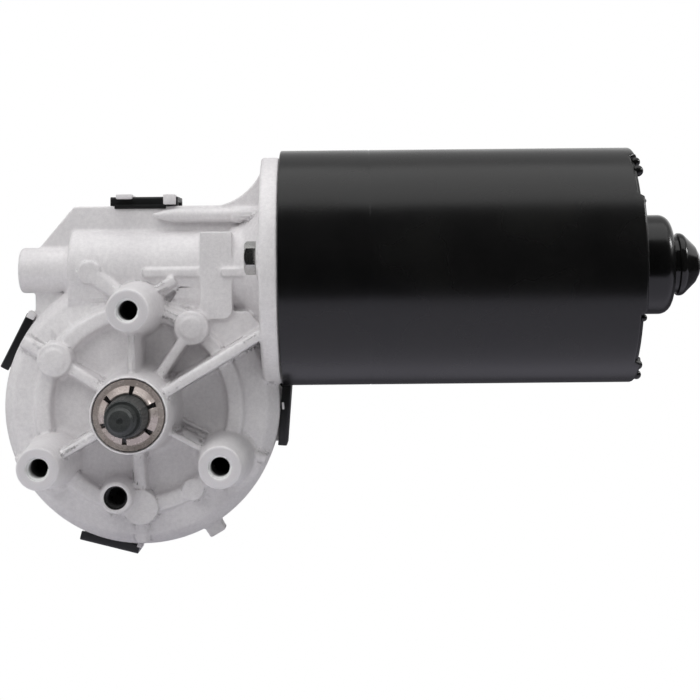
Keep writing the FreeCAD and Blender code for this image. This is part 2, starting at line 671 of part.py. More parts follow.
def casting_bosses():
    """The tapped bosses, the blind bosses on the ring, the flat pads and the lobe beside the flange."""
    low = FLOOR_Y + OVERRUN
    bosses = [boss(*polar(MOUNT_CIRCLE_R, a), 0.0, MOUNT_TOP_R, MOUNT_BASE_R) for a in MOUNT_ANGLES]
    bosses.append(boss(SMALL_BOSS_X, SMALL_BOSS_Z, SMALL_BOSS_BACK, SMALL_BOSS_TOP_R, SMALL_BOSS_BASE_R,
                       SMALL_BOSS_ROOT_ROUND))
    for angle, top_y in BLIND_BOSSES:
        x, z = polar(RING_R, angle)
        bosses.append(boss(x, z, top_y, BLIND_BOSS_TOP_R, BLIND_BOSS_BASE_R, SMALL_BOSS_ROOT_ROUND))
        bosses.append(rod_y(BLIND_BOSS_DISC_R, top_y - BLIND_BOSS_DISC_RISE, top_y + OVERRUN, x, z))
    bosses += [rod_y(radius, top_y, low, x, z) for x, z, radius, top_y in FLOOR_PADS]
    bosses.append(rod_y(TUNNEL_PAD_R, TUNNEL_FRONT_Y - TUNNEL_PAD_RISE, MOTOR_Y, TUNNEL_PAD_X,
                        MOTOR_Z - TUNNEL_PAD_DROP))
    bosses.append(slab([(x, z, LOBE_ROUND) for x, z in LOBE], LOBE_Y, PLATE_Y))
    return bosses


def clip_lugs():
    """Cast lugs that the cover clips snap over, the ears at the top and the small locating lug."""
    end = CLIP_LENGTH / 2
    front = MOTOR_Y + LUG_START
    lugs = []
    for angle, side in CLIPS.values():
        low = -end - LUG_TAIL if side < 0 else -end + LUG_INSET
        high = end + LUG_TAIL if side > 0 else end - LUG_INSET
        lugs.append(swung(block(RIM_R - LUG_ROOT, RIM_R + LUG_RISE, front, BACK_Y, low, high), angle))
    for x0, x1 in TOP_CLIP_WINDOWS:
        lugs.append(block(x0, x1, front, BACK_Y, PLATE_TOP_Z - OVERRUN, PLATE_TOP_Z + EAR_RISE))
    lugs.append(block(TOP_CLIP_X + LUG_INSET, TOP_CLIP_X + TOP_CLIP_LENGTH - LUG_INSET, front, BACK_Y,
                      PLATE_TOP_Z - OVERRUN, PLATE_TOP_Z + LUG_RISE))
    root = RIM_R - LUG_ROOT
    tip = RIM_R + LOCATOR_RISE
    locator_y = PLATE_Y + LOCATOR_INSET
    locator = slab([(root, -LOCATOR_HALF, 0), (tip, -LOCATOR_HALF, 2 * EDGE_ROUND),
                    (tip, LOCATOR_HALF, 2 * EDGE_ROUND),
                    (root, LOCATOR_HALF, 0)], locator_y, locator_y + LOCATOR_THICK)
    lugs.append(swung(locator, LOCATOR_ANGLE))
    return lugs


def channel_form(front, back):
    """The wiring channel behind the top edge."""
    start = PLATE_BEVEL_X + CHANNEL_INSET
    return slab([(start, CHANNEL_LOW_Z, CHANNEL_ROUND), (CHANNEL_END_X, CHANNEL_LOW_Z, CHANNEL_ROUND),
                 (CHANNEL_END_X, CHANNEL_HIGH_Z, CHANNEL_ROUND), (start, CHANNEL_HIGH_Z, CHANNEL_ROUND)],
                 front, back)


def casting_hollows():
    """Everything that is bored, milled or cored out of the casting."""
    past_back = BACK_Y + OVERRUN
    past_hub = HUB_TOP_Y - OVERRUN
    past_face = FLANGE_FACE_X + OVERRUN
    chamber = about_shaft([(0, CHAMBER_Y, 0), (CHAMBER_R - CHAMBER_CORNER, CHAMBER_Y, CHANNEL_ROUND),
                           (CHAMBER_R, CHAMBER_Y + CHAMBER_CORNER, CHANNEL_ROUND), (CHAMBER_R, past_back, 0),
                           (0, past_back, 0)])
    bore = about_shaft([(0, past_hub, 0), (WASHER_POCKET_R, past_hub, 0),
                        (WASHER_POCKET_R, POCKET_FLOOR_Y, 0),
                        (BUSH_OUTER_R, POCKET_FLOOR_Y, 0), (BUSH_OUTER_R, CHAMBER_Y + OVERRUN, 0),
                        (0, CHAMBER_Y + OVERRUN, 0)])
    worm_bore = rod_x(WORM_BORE_R, NOSE_BUSH_END_X, BEARING_START_X)
    nose_bore = rod_x(NOSE_BUSH_R, NOSE_BUSH_X, NOSE_BUSH_END_X)
    thrust_bore = rod_x(THRUST_SCREW_R, NOSE_END_X - OVERRUN, NOSE_BUSH_X)
    bearing_bore = rod_x(BEARING_OUTER_R, BEARING_START_X, FLANGE_FACE_X)
    motor_recess = rod_x(BRUSH_PLATE_R + SLIDE_GAP, BRUSH_PLATE_X, past_face)
    channel = channel_form(UPPER_Y + PLATE_STEP, past_back)
    passage = rod_x(PASSAGE_R, CHANNEL_END_X, past_face, MOTOR_Y + PASSAGE_BACK, PLATE_TOP_Z - PASSAGE_DROP)
    hollow = slab([(x, z, HOLLOW_ROUND) for x, z in HOLLOW], TUNNEL_FRONT_Y - OVERRUN,
                  TUNNEL_FRONT_Y + HOLLOW_DEPTH)
    screws = at_screws(rod_x(SCREW_R + SLIDE_GAP, FLANGE_BACK_X - SCREW_HEAD_THICK / 2, BRUSH_PLATE_X + LAP))
    mount_holes = [hole_y(MOUNT_HOLE_R, MOUNT_HOLE_DEPTH, 0.0, *polar(MOUNT_CIRCLE_R, a))
                   for a in MOUNT_ANGLES]
    small_hole = hole_y(SMALL_HOLE_R, SMALL_HOLE_DEPTH, SMALL_BOSS_BACK, SMALL_BOSS_X, SMALL_BOSS_Z)
    return [chamber, bore, worm_bore, nose_bore, thrust_bore, bearing_bore, motor_recess, channel, passage,
            hollow, small_hole] + screws + mount_holes


def gear_housing():
    plate = slab(plate_corners(0.0, FLANGE_BACK_X + LAP), UPPER_Y, BACK_Y)
    body = gearbox_disc().multiFuse([gearbox_hub(), plate] + tunnel_forms())
    for forms in (top_rail() + flange_forms(), casting_bosses(), casting_ribs(), clip_lugs()):
        body = body.multiFuse(forms)
    return body.cut(casting_hollows()).removeSplitter()


# Output shaft, its bushes and the wheel

def output_shaft():
    """Plain journal, serrated cone for the crank, neck and threaded end."""
    thread_y = -SHAFT_TIP_OUT + THREAD_LENGTH
    cone_y = thread_y + NECK_LENGTH
    shaft = about_shaft([(0, -SHAFT_TIP_OUT, 0), (SHAFT_TIP_R, -SHAFT_TIP_OUT, 0),
                         (SHAFT_THREAD_R, -SHAFT_TIP_OUT + TIP_CHAMFER, 0), (SHAFT_THREAD_R, thread_y, 0),
                         (SHAFT_NECK_R, thread_y, 0), (SHAFT_NECK_R, cone_y, 0),
                         (CONE_END_R, cone_y, EDGE_ROUND),
                         (SHAFT_R, cone_y + CONE_LENGTH, 0), (SHAFT_R, SHAFT_BACK_Y, EDGE_ROUND),
                         (0, SHAFT_BACK_Y, 0)])
    slope = degrees((SHAFT_R - CONE_END_R) / CONE_LENGTH)
    start = cone_y - 2 * OVERRUN
    root = V(CONE_END_R - SERRATION_DEPTH, start, 0)
    outside = CONE_END_R + SERRATION_DEPTH
    half = 2 * SERRATION_DEPTH * tan(radians(SERRATION_ANGLE / 2))
    notch = Part.makePolygon([root, V(outside, start, half), V(outside, start, -half), root])
    tooth_gap = Part.Face(notch).extrude(V(0, CONE_LENGTH + LAP, 0))
    tooth_gap.rotate(V(CONE_END_R, cone_y, 0), V(0, 0, 1), -slope)
    return shaft.cut([swung(tooth_gap, k * 360 / SERRATIONS) for k in range(SERRATIONS)])


def shaft_bush(front):
    inner = SHAFT_R + RUNNING_FIT
    back = front + BUSH_LENGTH
    return about_shaft([(inner, front, 0), (BUSH_OUTER_R, front, EDGE_ROUND),
                        (BUSH_OUTER_R, back, EDGE_ROUND),
                        (inner, back, 0)])


def star_washer():
    """Push-on washer: a flat rim and a cone with six slots that grips the shaft."""
    back = POCKET_FLOOR_Y - SHIM_THICK
    front = back - WASHER_THICK
    fold_r = (SHAFT_R + WASHER_R) / 2
    half = WASHER_SLOT_WIDTH / 2
    bend = WASHER_THICK
    body = about_shaft([(SHAFT_R, front - WASHER_LIFT, 0), (fold_r, front, bend),
                        (WASHER_R, front, EDGE_ROUND),
                        (WASHER_R, back, 0), (fold_r - bend / 3, back, bend),
                        (SHAFT_R, back - WASHER_LIFT, 0)])
    start = SHAFT_R - OVERRUN
    slot = slab([(start, -half, 0), (fold_r, -half, half * STRIP_HEAD), (fold_r, half, half * STRIP_HEAD),
                 (start, half, 0)], front - WASHER_LIFT - OVERRUN, back + OVERRUN)
    return body.cut([swung(slot, WASHER_SLOT_ANGLE + k * 360 / WASHER_SLOTS) for k in range(WASHER_SLOTS)])


def wheel_outline(angle, y):
    """The toothed outline of the wheel at one depth, turned by an angle in radians."""
    pitch = 2 * pi / WHEEL_TEETH
    half = (MODULE * pi - BACKLASH) / 4
    flank = tan(radians(FLANK_ANGLE))
    at_tip = (half - ADDENDUM * flank) / WHEEL_TIP_R
    root_r = WHEEL_PITCH_R - DEDENDUM
    at_root = (half + DEDENDUM * flank) / root_r
    tooth = ((root_r, -at_root), (WHEEL_TIP_R, -at_tip), (WHEEL_TIP_R, at_tip), (root_r, at_root))
    points = []
    for k in range(WHEEL_TEETH):
        middle = pi / 2 + k * pitch + angle
        for radius, turn in tooth:
            points.append(V(radius * cos(middle + turn), y, radius * sin(middle + turn)))
    return Part.makePolygon(points + points[:1])


def drive_gear():
    """Moulded worm wheel: slanted teeth on a rim, a thin web with ribs and a boss."""
    lead_slope = MODULE / 2 / WORM_PITCH_R
    twist = lead_slope * WHEEL_WIDTH / 2 / WHEEL_PITCH_R
    ends = [wheel_outline(twist, WHEEL_FRONT_Y), wheel_outline(-twist, WHEEL_BACK_Y)]
    gear = Part.makeLoft(ends, True, True)
    rim_r = WHEEL_PITCH_R - DEDENDUM - GEAR_RIM
    start = WHEEL_FRONT_Y - OVERRUN
    floor = WHEEL_FRONT_Y + GEAR_DISH
    dish = about_shaft([(GEAR_HUB_R, start, 0), (rim_r, start, 0), (rim_r, floor, GEAR_WEB / 2),
                        (GEAR_HUB_R, floor, GEAR_WEB / 2)])
    bore = rod_y(GEAR_BOSS_R, start, WHEEL_BACK_Y + OVERRUN)
    web = block(GEAR_HUB_R - OVERRUN, rim_r + OVERRUN, WHEEL_FRONT_Y + LAP, floor + OVERRUN, -GEAR_WEB / 2,
                GEAR_WEB / 2)
    webs = [swung(web, k * 360 / GEAR_WEBS) for k in range(GEAR_WEBS)]
    return gear.cut([dish, bore]).multiFuse(webs).removeSplitter()


def gear_hub():
    """Steel hub between the shaft and the moulded wheel."""
    return about_shaft([(SHAFT_R, CHAMBER_Y + LOOSE_GAP, 0), (GEAR_BOSS_R, CHAMBER_Y + LOOSE_GAP, EDGE_ROUND),
                        (GEAR_BOSS_R, WHEEL_BACK_Y, 0), (SHAFT_R, WHEEL_BACK_Y, 0)])


def park_disc():
    """Contact disc on the back of the wheel, with the gap that stops the wiper in its park position."""
    inner = GEAR_BOSS_R + PARK_DISC_INSET
    back = WHEEL_BACK_Y + PARK_DISC_THICK
    disc = about_shaft([(inner, WHEEL_BACK_Y, 0), (PARK_DISC_R, WHEEL_BACK_Y, 0), (PARK_DISC_R, back, 0),
                        (inner, back, 0)])
    gap = block(PARK_DISC_R - PARK_GAP_DEPTH, PARK_DISC_R + OVERRUN, WHEEL_BACK_Y - OVERRUN, back + OVERRUN,
                -PARK_GAP_HALF, PARK_GAP_HALF)
    return disc.cut(gap)


# Worm shaft and its bearings

def armature_shaft():
    """One steel shaft from the nose to the tail, with the worm rolled on it."""
    journal_x = NOSE_BUSH_END_X + OVERRUN
    root_x = WORM_LENGTH / 2 + WORM_RUNOUT
    core = about_motor([(SHAFT_NOSE_X, 0, 0), (SHAFT_NOSE_X, NOSE_JOURNAL_R, EDGE_ROUND),
                        (journal_x, NOSE_JOURNAL_R, 0), (journal_x, WORM_ROOT_R, 0),
                        (root_x, WORM_ROOT_R, 0), (root_x + 2 * OVERRUN, ARMATURE_SHAFT_R, 0),
                        (TAIL_STEP_X, ARMATURE_SHAFT_R, 0), (TAIL_STEP_X, TAIL_JOURNAL_R, 0),
                        (SHAFT_TAIL_X, TAIL_JOURNAL_R, EDGE_ROUND), (SHAFT_TAIL_X, 0, 0)])
    return core.fuse(worm_thread())


def worm_thread():
    """A single trapezoid thread, swept along its helix about the motor's axis."""
    lead = MODULE * pi
    half = (MODULE * pi - BACKLASH) / 4
    flank = tan(radians(FLANK_ANGLE))
    foot = half + (DEDENDUM + WORM_SUNK) * flank
    tip = half - ADDENDUM * flank
    inner = WORM_ROOT_R - WORM_SUNK
    outer = WORM_PITCH_R + ADDENDUM
    section = Part.makePolygon([V(inner, 0, -foot), V(outer, 0, -tip), V(outer, 0, tip), V(inner, 0, foot),
                                V(inner, 0, -foot)])
    turns = int(WORM_LENGTH / lead / 2)
    helix = Part.makeHelix(lead, 2 * turns * lead, WORM_PITCH_R, 0, False)
    thread = Part.Wire(helix.Edges).makePipeShell([section], True, True)
    thread.translate(V(0, 0, -turns * lead))
    thread.rotate(V(0, 0, 0), V(0, 1, 0), 90)
    thread.translate(V(lead / 2, MOTOR_Y, MOTOR_Z))
    return thread


def nose_bush():
    inner = NOSE_JOURNAL_R + RUNNING_FIT
    return about_motor([(NOSE_BUSH_X, inner, 0), (NOSE_BUSH_X, NOSE_BUSH_R, 0),
                        (NOSE_BUSH_END_X, NOSE_BUSH_R, EDGE_ROUND), (NOSE_BUSH_END_X, inner, 0)])


def thrust_screw():
    """Set screw that takes up the worm's end play, with a slot for a screwdriver."""
    face = NOSE_END_X + LAP
    half = THRUST_SLOT / 2
    body = about_motor([(face, 0, 0), (face, THRUST_SCREW_R, EDGE_ROUND), (NOSE_BUSH_X, THRUST_SCREW_R, 0),
                        (NOSE_BUSH_X, 0, 0)])
    slot = block(NOSE_END_X, face + THRUST_SLOT, MOTOR_Y - half, MOTOR_Y + half, MOTOR_Z - NOSE_R,
                 MOTOR_Z + NOSE_R)
    return body.cut(slot)


def thrust_pad():
    return rod_x(NOSE_JOURNAL_R - SLIDE_GAP, NOSE_BUSH_X, NOSE_BUSH_X + THRUST_PAD)


def bearing_ring(inner_r, outer_r):
    """One ring of the ball bearing, with its groove."""
    ring = about_motor([(BEARING_START_X, inner_r, 0), (BEARING_START_X, outer_r, 0),
                        (BEARING_END_X, outer_r, 0), (BEARING_END_X, inner_r, 0)])
    groove = Part.makeTorus(BALL_CIRCLE_R, BALL_R + RUNNING_FIT, V(BEARING_START_X + BEARING_WIDTH / 2,
                                                                 MOTOR_Y, MOTOR_Z), V(1, 0, 0))
    return ring.cut(groove)


def bearing_balls():
    middle = BEARING_START_X + BEARING_WIDTH / 2
    ball = Part.makeSphere(BALL_R, V(middle, MOTOR_Y, MOTOR_Z + BALL_CIRCLE_R))
    return Part.makeCompound([turned(ball, k * 360 / BALLS) for k in range(BALLS)])


# Armature

def armature_core():
    """Laminated stack with twelve slots for the windings."""
    core = about_motor([(CORE_START_X, ARMATURE_SHAFT_R, 0), (CORE_START_X, CORE_R, 0),
                        (CORE_END_X, CORE_R, 0), (CORE_END_X, ARMATURE_SHAFT_R, 0)])
    start = CORE_START_X - OVERRUN
    end = CORE_END_X + OVERRUN
    slots = [turned(slot_form(0.0, start, end), k * 360 / CORE_SLOTS) for k in range(CORE_SLOTS)]
    mouth = block(start, end, MOTOR_Y - SLOT_MOUTH / 2, MOTOR_Y + SLOT_MOUTH / 2,
                  MOTOR_Z + SLOT_TOP_R - LAP, MOTOR_Z + CORE_R + OVERRUN)
    mouths = [turned(mouth, k * 360 / CORE_SLOTS) for k in range(CORE_SLOTS)]
    return core.cut(slots + mouths)


def slot_form(gap, start, end):
    """A slot, or the wire that fills it with a gap all round, at the top of the armature."""
    share = tan(pi / CORE_SLOTS)
    low = SLOT_FOOT_R + gap
    high = SLOT_TOP_R - gap
    foot = low * share - TOOTH_WIDTH / 2 - gap
    top = high * share - TOOTH_WIDTH / 2 - gap
    return beam([(MOTOR_Y - foot, MOTOR_Z + low, 0), (MOTOR_Y - top, MOTOR_Z + high, 0),
                 (MOTOR_Y + top, MOTOR_Z + high, 0), (MOTOR_Y + foot, MOTOR_Z + low, 0)], start, end)


def armature_windings():
    """Copper coils: the wire in each slot and the end turns that join it at both ends."""
    bars = [turned(slot_form(SLIDE_GAP, CORE_START_X - OVERRUN, CORE_END_X + OVERRUN), k * 360 / CORE_SLOTS)
            for k in range(CORE_SLOTS)]
    inner = ARMATURE_SHAFT_R + COIL_GAP
    ends = []
    for face, way in ((CORE_START_X, -1), (CORE_END_X, 1)):
        near = face + SLIDE_GAP * way
        far = face + COIL_END * way
        ends.append(about_motor([(near, inner, 0), (near, SLOT_TOP_R, 0),
                                 ((near + far) / 2, SLOT_TOP_R - LAP, COIL_ROUND),
                                 (far, COIL_FACE_R, COIL_ROUND),
                                 (far - COIL_GAP * way, inner, COIL_ROUND / 3)]))
    return ends[0].multiFuse(bars + ends[1:])


def commutator():
    """Copper bars on a moulded sleeve."""
    end = COMMUTATOR_START_X + COMMUTATOR_LENGTH
    ring = about_motor([(COMMUTATOR_START_X, COMMUTATOR_SLEEVE_R, 0),
                        (COMMUTATOR_START_X, COMMUTATOR_R, EDGE_ROUND),
                        (end, COMMUTATOR_R, 0), (end, COMMUTATOR_SLEEVE_R, 0)])
    half = COMMUTATOR_SLIT / 2
    slit = block(COMMUTATOR_START_X - OVERRUN, end + OVERRUN, MOTOR_Y - half, MOTOR_Y + half,
                 MOTOR_Z + COMMUTATOR_R - COMMUTATOR_SLIT, MOTOR_Z + COMMUTATOR_R + OVERRUN)
    return ring.cut([turned(slit, k * 360 / COMMUTATOR_BARS) for k in range(COMMUTATOR_BARS)])


def commutator_sleeve():
    end = COMMUTATOR_START_X + COMMUTATOR_LENGTH
    return about_motor([(COMMUTATOR_START_X, ARMATURE_SHAFT_R, 0),
                        (COMMUTATOR_START_X, COMMUTATOR_SLEEVE_R, 0),
                        (end, COMMUTATOR_SLEEVE_R, 0), (end, ARMATURE_SHAFT_R, 0)])


# Can, magnets and end bell

def motor_can():
    """Deep-drawn steel can with a notched lip rolled over the end bell, and staked beside the notches."""
    seat_r = CAN_BORE_R + BELL_SEAT
    lip_r = CAN_BORE_R - CAN_LIP
    can = about_motor([(FLANGE_FACE_X, CAN_BORE_R, 0), (FLANGE_FACE_X, CAN_R, EDGE_ROUND),
                       (CAN_END_X, CAN_R, CAN_EDGE_ROUND), (CAN_END_X, lip_r, 0), (BELL_BACK_X, lip_r, 0),
                       (BELL_BACK_X, seat_r, 0), (BELL_X, seat_r, 0), (BELL_X, CAN_BORE_R, 0)])
    start = CAN_END_X - NOTCH_DEPTH
    end = CAN_END_X + OVERRUN
    notch = [(start, lip_r - OVERRUN, 0), (start, CAN_R + OVERRUN, 0), (end, CAN_R + OVERRUN, 0),
             (end, lip_r - OVERRUN, 0)]
    middles = [NOTCH_TURN + k * 360 / NOTCHES for k in range(NOTCHES)]
    stakes = [stake(middle + turn, CAN_END_X - CAN_WALL / 2) for middle in middles for turn in CAN_STAKES]
    return can.cut([about_motor(notch, NOTCH_SPAN, a - NOTCH_SPAN / 2) for a in middles]).multiFuse(stakes)


def stake(angle, start):
    """A small nub punched out at the can's end."""
    return turned(rod_x(STAKE_R, start, CAN_END_X + STAKE_LENGTH, MOTOR_Y, MOTOR_Z + CAN_BORE_R), angle)


def magnets():
    """Two ferrite arcs inside the can."""
    inner = CORE_R + AIR_GAP
    start = CORE_START_X - MAGNET_OVERHANG
    end = CORE_END_X + MAGNET_OVERHANG
    arc = [(start, inner, 0), (start, CAN_BORE_R, 0), (end, CAN_BORE_R, 0), (end, inner, 0)]
    return Part.makeCompound([about_motor(arc, MAGNET_SPAN, side - MAGNET_SPAN / 2) for side in (90, 270)])


def magnet_clips():
    """Two spring strips that press the magnets apart against the can."""
    span = 180 - MAGNET_SPAN
    start = CORE_START_X + MAGNET_OVERHANG
    end = CORE_END_X - MAGNET_OVERHANG
    inner = CAN_BORE_R - STRIP_THICK
    middle = CAN_BORE_R - STRIP_THICK / 2
    foot = CAN_BORE_R - STRIP_LEG
    strip = [(start, inner, 0), (start, CAN_BORE_R, 0), (end, CAN_BORE_R, 0), (end, inner, 0)]
    leg = [(start, foot, 0), (start, middle, 0), (end, middle, 0), (end, foot, 0)]
    clips = []
    for side in (0, 180):
        legs = [about_motor(leg, LEG_SPAN, side - span / 2),
                about_motor(leg, LEG_SPAN, side + span / 2 - LEG_SPAN)]
        clips.append(about_motor(strip, span, side - span / 2).multiFuse(legs))
    return Part.makeCompound(clips)


def end_bell():
    """Pressed end plate with the cup that holds the tail bearing, staked in the can's notches."""
    seat_r = CAN_BORE_R + BELL_SEAT
    inner = CUP_R - CUP_WALL
    floor_x = CUP_END_X - CUP_WALL
    bell = about_motor([(BELL_X, inner, CUP_ROUND / 4), (BELL_X, seat_r, 0), (BELL_BACK_X, seat_r, 0),
                        (BELL_BACK_X, CUP_R, CUP_ROUND / 4), (CUP_END_X, CUP_R, CUP_ROUND),
                        (CUP_END_X, CAP_STEM_R, 0), (floor_x, CAP_STEM_R, 0),
                        (floor_x, inner, CUP_ROUND / 2)])
    return bell.multiFuse([stake(NOTCH_TURN + k * 360 / NOTCHES + BELL_STAKE, BELL_BACK_X - OVERRUN)
                           for k in range(NOTCHES)])


def end_cap():
    """Domed closing cap in the middle of the cup."""
    rim_x = CUP_END_X + CAP_NECK
    tip_x = CUP_END_X + CAP_LENGTH
    dome = about_motor([(CUP_END_X, 0, 0), (CUP_END_X, CAP_NECK_R, 0), (rim_x, CAP_NECK_R, 0),
                        (rim_x, CAP_R, EDGE_ROUND), (rim_x + CAP_RIM, CAP_R, CAP_ROUND / 3),
                        (tip_x, CAP_TIP_R, CAP_ROUND), (tip_x, 0, 0)])
    stem = rod_x(CAP_STEM_R, CUP_END_X - CUP_WALL + SLIDE_GAP, CUP_END_X + SLIDE_GAP)
    return dome.fuse(stem).removeSplitter()


def tail_bush():
    inner = TAIL_JOURNAL_R + RUNNING_FIT
    start = TAIL_BUSH_END_X - TAIL_BUSH_LENGTH
    return about_motor([(start, inner, 0), (start, TAIL_BUSH_R, 0), (TAIL_BUSH_END_X, TAIL_BUSH_R, 0),
                        (TAIL_BUSH_END_X, inner, 0)])


def bearing_carrier():
    """Ring that centres the tail bush in the cup."""
    start = TAIL_BUSH_END_X - TAIL_BUSH_LENGTH
    outer = CUP_R - CUP_WALL
    end = TAIL_BUSH_END_X - OVERRUN
    return about_motor([(start, TAIL_BUSH_R, 0), (start, outer, 0), (end, outer, 0), (end, TAIL_BUSH_R, 0)])


# Brush gear

def brush_plate():
    """Insulating plate that carries the brush holders, between the bearing and the commutator."""
    back = BRUSH_PLATE_X + BRUSH_PLATE_THICK
    plate = about_motor([(BRUSH_PLATE_X, BRUSH_PLATE_BORE_R, 0), (BRUSH_PLATE_X, BRUSH_PLATE_R, 0),
                         (back, BRUSH_PLATE_R, 0), (back, BRUSH_PLATE_BORE_R, 0)])
    screws = at_screws(rod_x(SCREW_R + OVERRUN, BRUSH_PLATE_X - OVERRUN, back + OVERRUN))
    return plate.cut(screws)


def brush_holder():
    """Sheet brass guide box round one brush, closed behind its spring."""
    half_w = BRUSH_WIDTH / 2 + SLIDE_GAP
    x0 = BRUSH_PLATE_X + BRUSH_PLATE_THICK
    x1 = BRUSH_X + BRUSH_HEIGHT + SLIDE_GAP + HOLDER_WALL
    box = block(x0, x1, MOTOR_Y - half_w - HOLDER_WALL, MOTOR_Y + half_w + HOLDER_WALL,
                MOTOR_Z + HOLDER_START_R, MOTOR_Z + HOLDER_END_R)
    inside = block(x0 + HOLDER_WALL, x1 - HOLDER_WALL, MOTOR_Y - half_w, MOTOR_Y + half_w,
                   MOTOR_Z + HOLDER_START_R - OVERRUN, MOTOR_Z + HOLDER_END_R - HOLDER_WALL)
    return box.cut(inside)


def brush():
    """Carbon brush, hollowed to the commutator's curve."""
    body = block(BRUSH_X, BRUSH_X + BRUSH_HEIGHT, MOTOR_Y - BRUSH_WIDTH / 2, MOTOR_Y + BRUSH_WIDTH / 2,
                 MOTOR_Z + BRUSH_FACE_R - OVERRUN, MOTOR_Z + BRUSH_BACK_R)
    return body.cut(rod_x(BRUSH_FACE_R, BRUSH_X - OVERRUN, BRUSH_X + BRUSH_HEIGHT + OVERRUN))


def brush_spring():
    """Coil spring of square wire between a brush and the back of its holder."""
    half = SPRING_WIRE / 2
    low = MOTOR_Z + BRUSH_BACK_R + SPRING_WIRE
    length = HOLDER_END_R - HOLDER_WALL - BRUSH_BACK_R - 2 * SPRING_WIRE
    middle_x = BRUSH_X + BRUSH_HEIGHT / 2
    helix = Part.makeHelix(length / SPRING_TURNS, length, SPRING_R)
    section = Part.makePolygon([V(SPRING_R - half, 0, -half), V(SPRING_R + half, 0, -half),
                                V(SPRING_R + half, 0, half), V(SPRING_R - half, 0, half),
                                V(SPRING_R - half, 0, -half)])
    spring = Part.Wire(helix.Edges).makePipeShell([section], True, True)
    spring.translate(V(middle_x, MOTOR_Y, low))
    return spring


def at_brush(shape, k):
    return turned(shape, BRUSH_ANGLES[k])


# Cover, clips and connector

def cover_outline(front, back, inset):
    """The gearbox outline, inset all round and clear of the motor flange, as a plate."""
    plate = rod_y(RIM_R - inset, front, back).fuse(slab(plate_corners(inset, COVER_EDGE_X), front, back))
    flange = rod_x(FLANGE_R + inset, FLANGE_BACK_X - inset, FLANGE_FACE_X)
    bell = rod_x(BELL_MOUTH_R, COVER_EDGE_X, FLANGE_FACE_X)
    return plate.cut([flange, bell]).removeSplitter()


def cover_gasket():
    sheet = cover_outline(BACK_Y, COVER_Y, COVER_INSET)
    front = BACK_Y - OVERRUN
    back = COVER_Y + OVERRUN
    return sheet.cut([rod_y(CHAMBER_R, front, back), channel_form(front, back)])


def rear_cover():
    """Moulded cover with a raised round middle and a stop for the output shaft."""
    plate = cover_outline(COVER_Y, COVER_BACK_Y, COVER_INSET)
    foot = DOME_R + DOME_WALL
    dome = about_shaft([(0, COVER_Y, 0), (foot, COVER_Y, 0), (foot, COVER_BACK_Y, EDGE_ROUND),
                        (DOME_R - OVERRUN, DOME_BACK_Y, 3 * EDGE_ROUND), (0, DOME_BACK_Y, 0)])
    inside = about_shaft([(0, COVER_Y - OVERRUN, 0), (DOME_R - OVERRUN, COVER_Y - OVERRUN, 0),
                          (DOME_R - OVERRUN, COVER_Y, 0),
                          (DOME_R - OVERRUN - DOME_WALL, DOME_INSIDE_Y, 2 * EDGE_ROUND),
                          (0, DOME_INSIDE_Y, 0)])
    stop = rod_y(STOP_R, SHAFT_BACK_Y + LOOSE_GAP, DOME_INSIDE_Y + LAP)
    rib_form = block(DOME_R + COVER_RIB_INSET, RIM_R - COVER_RIB_INSET, COVER_BACK_Y - LAP,
                     COVER_BACK_Y + COVER_RIB_RISE, -COVER_RIB_HALF, COVER_RIB_HALF)
    ribs = [swung(rib_form, a) for a in COVER_RIB_ANGLES]
    return plate.fuse(dome).cut(inside).multiFuse([stop] + ribs).removeSplitter()


def contact_carrier():
    """Moulded block inside the cover that holds the park contacts."""
    return block(-CARRIER_HALF, CARRIER_HALF, DOME_INSIDE_Y - CARRIER_THICK, DOME_INSIDE_Y,
                 -DOME_R + CARRIER_INSET, -GEAR_BOSS_R + CARRIER_THICK)


def park_contacts():
    """Three bent spring fingers that touch the contact disc."""
    back = DOME_INSIDE_Y - CARRIER_THICK
    touch = WHEEL_BACK_Y + PARK_DISC_THICK + LOOSE_GAP
    root = CARRIER_HALF - EDGE_ROUND
    bend, knee, tip = FINGER_PLACES
    fingers = []
    for z in CONTACT_RADII:
        corners = [(root, back, 0), (root, back - FINGER_THICK, 0), (bend, back - FINGER_THICK, 0),
                   (knee, touch, EDGE_ROUND), (tip, touch + OVERRUN, 0),
                   (tip, touch + OVERRUN + FINGER_THICK, 0),
                   (knee, touch + FINGER_THICK, EDGE_ROUND), (bend, back, 0)]
        face = Part.Face(rounded_wire(corners, lambda p: V(p.x, p.y, -z - FINGER_WIDTH / 2)))
        fingers.append(face.extrude(V(0, 0, FINGER_WIDTH)))
    return Part.makeCompound(fingers)


def clip_section():
    """Section of a cover clip: hook in front of the lug, wall outside it and a leg behind the cover."""
    wall_in = RIM_R + LUG_RISE + CLIP_GAP
    wall_out = wall_in + CLIP_WALL
    hook_y = MOTOR_Y + LUG_START - CLIP_GAP
    leg_y = COVER_BACK_Y + CLIP_GAP
    leg_r = RIM_R - CLIP_LEG
    hook_r = RIM_R + CLIP_GAP
    front = hook_y - CLIP_WALL
    back = leg_y + CLIP_WALL
    return [(hook_r, front, CLIP_EDGE_ROUND), (wall_out, front, CLIP_BEND_R), (wall_out, back, CLIP_BEND_R),
            (leg_r, back, CLIP_EDGE_ROUND), (leg_r, leg_y, 0), (wall_in, leg_y, 0), (wall_in, hook_y, 0),
            (hook_r, hook_y, 0)]


def round_clip(angle):
    end = CLIP_LENGTH / 2
    face = Part.Face(rounded_wire(clip_section(), lambda p: V(p.x, p.y, -end)))
    return swung(face.extrude(V(0, 0, CLIP_LENGTH)), angle)


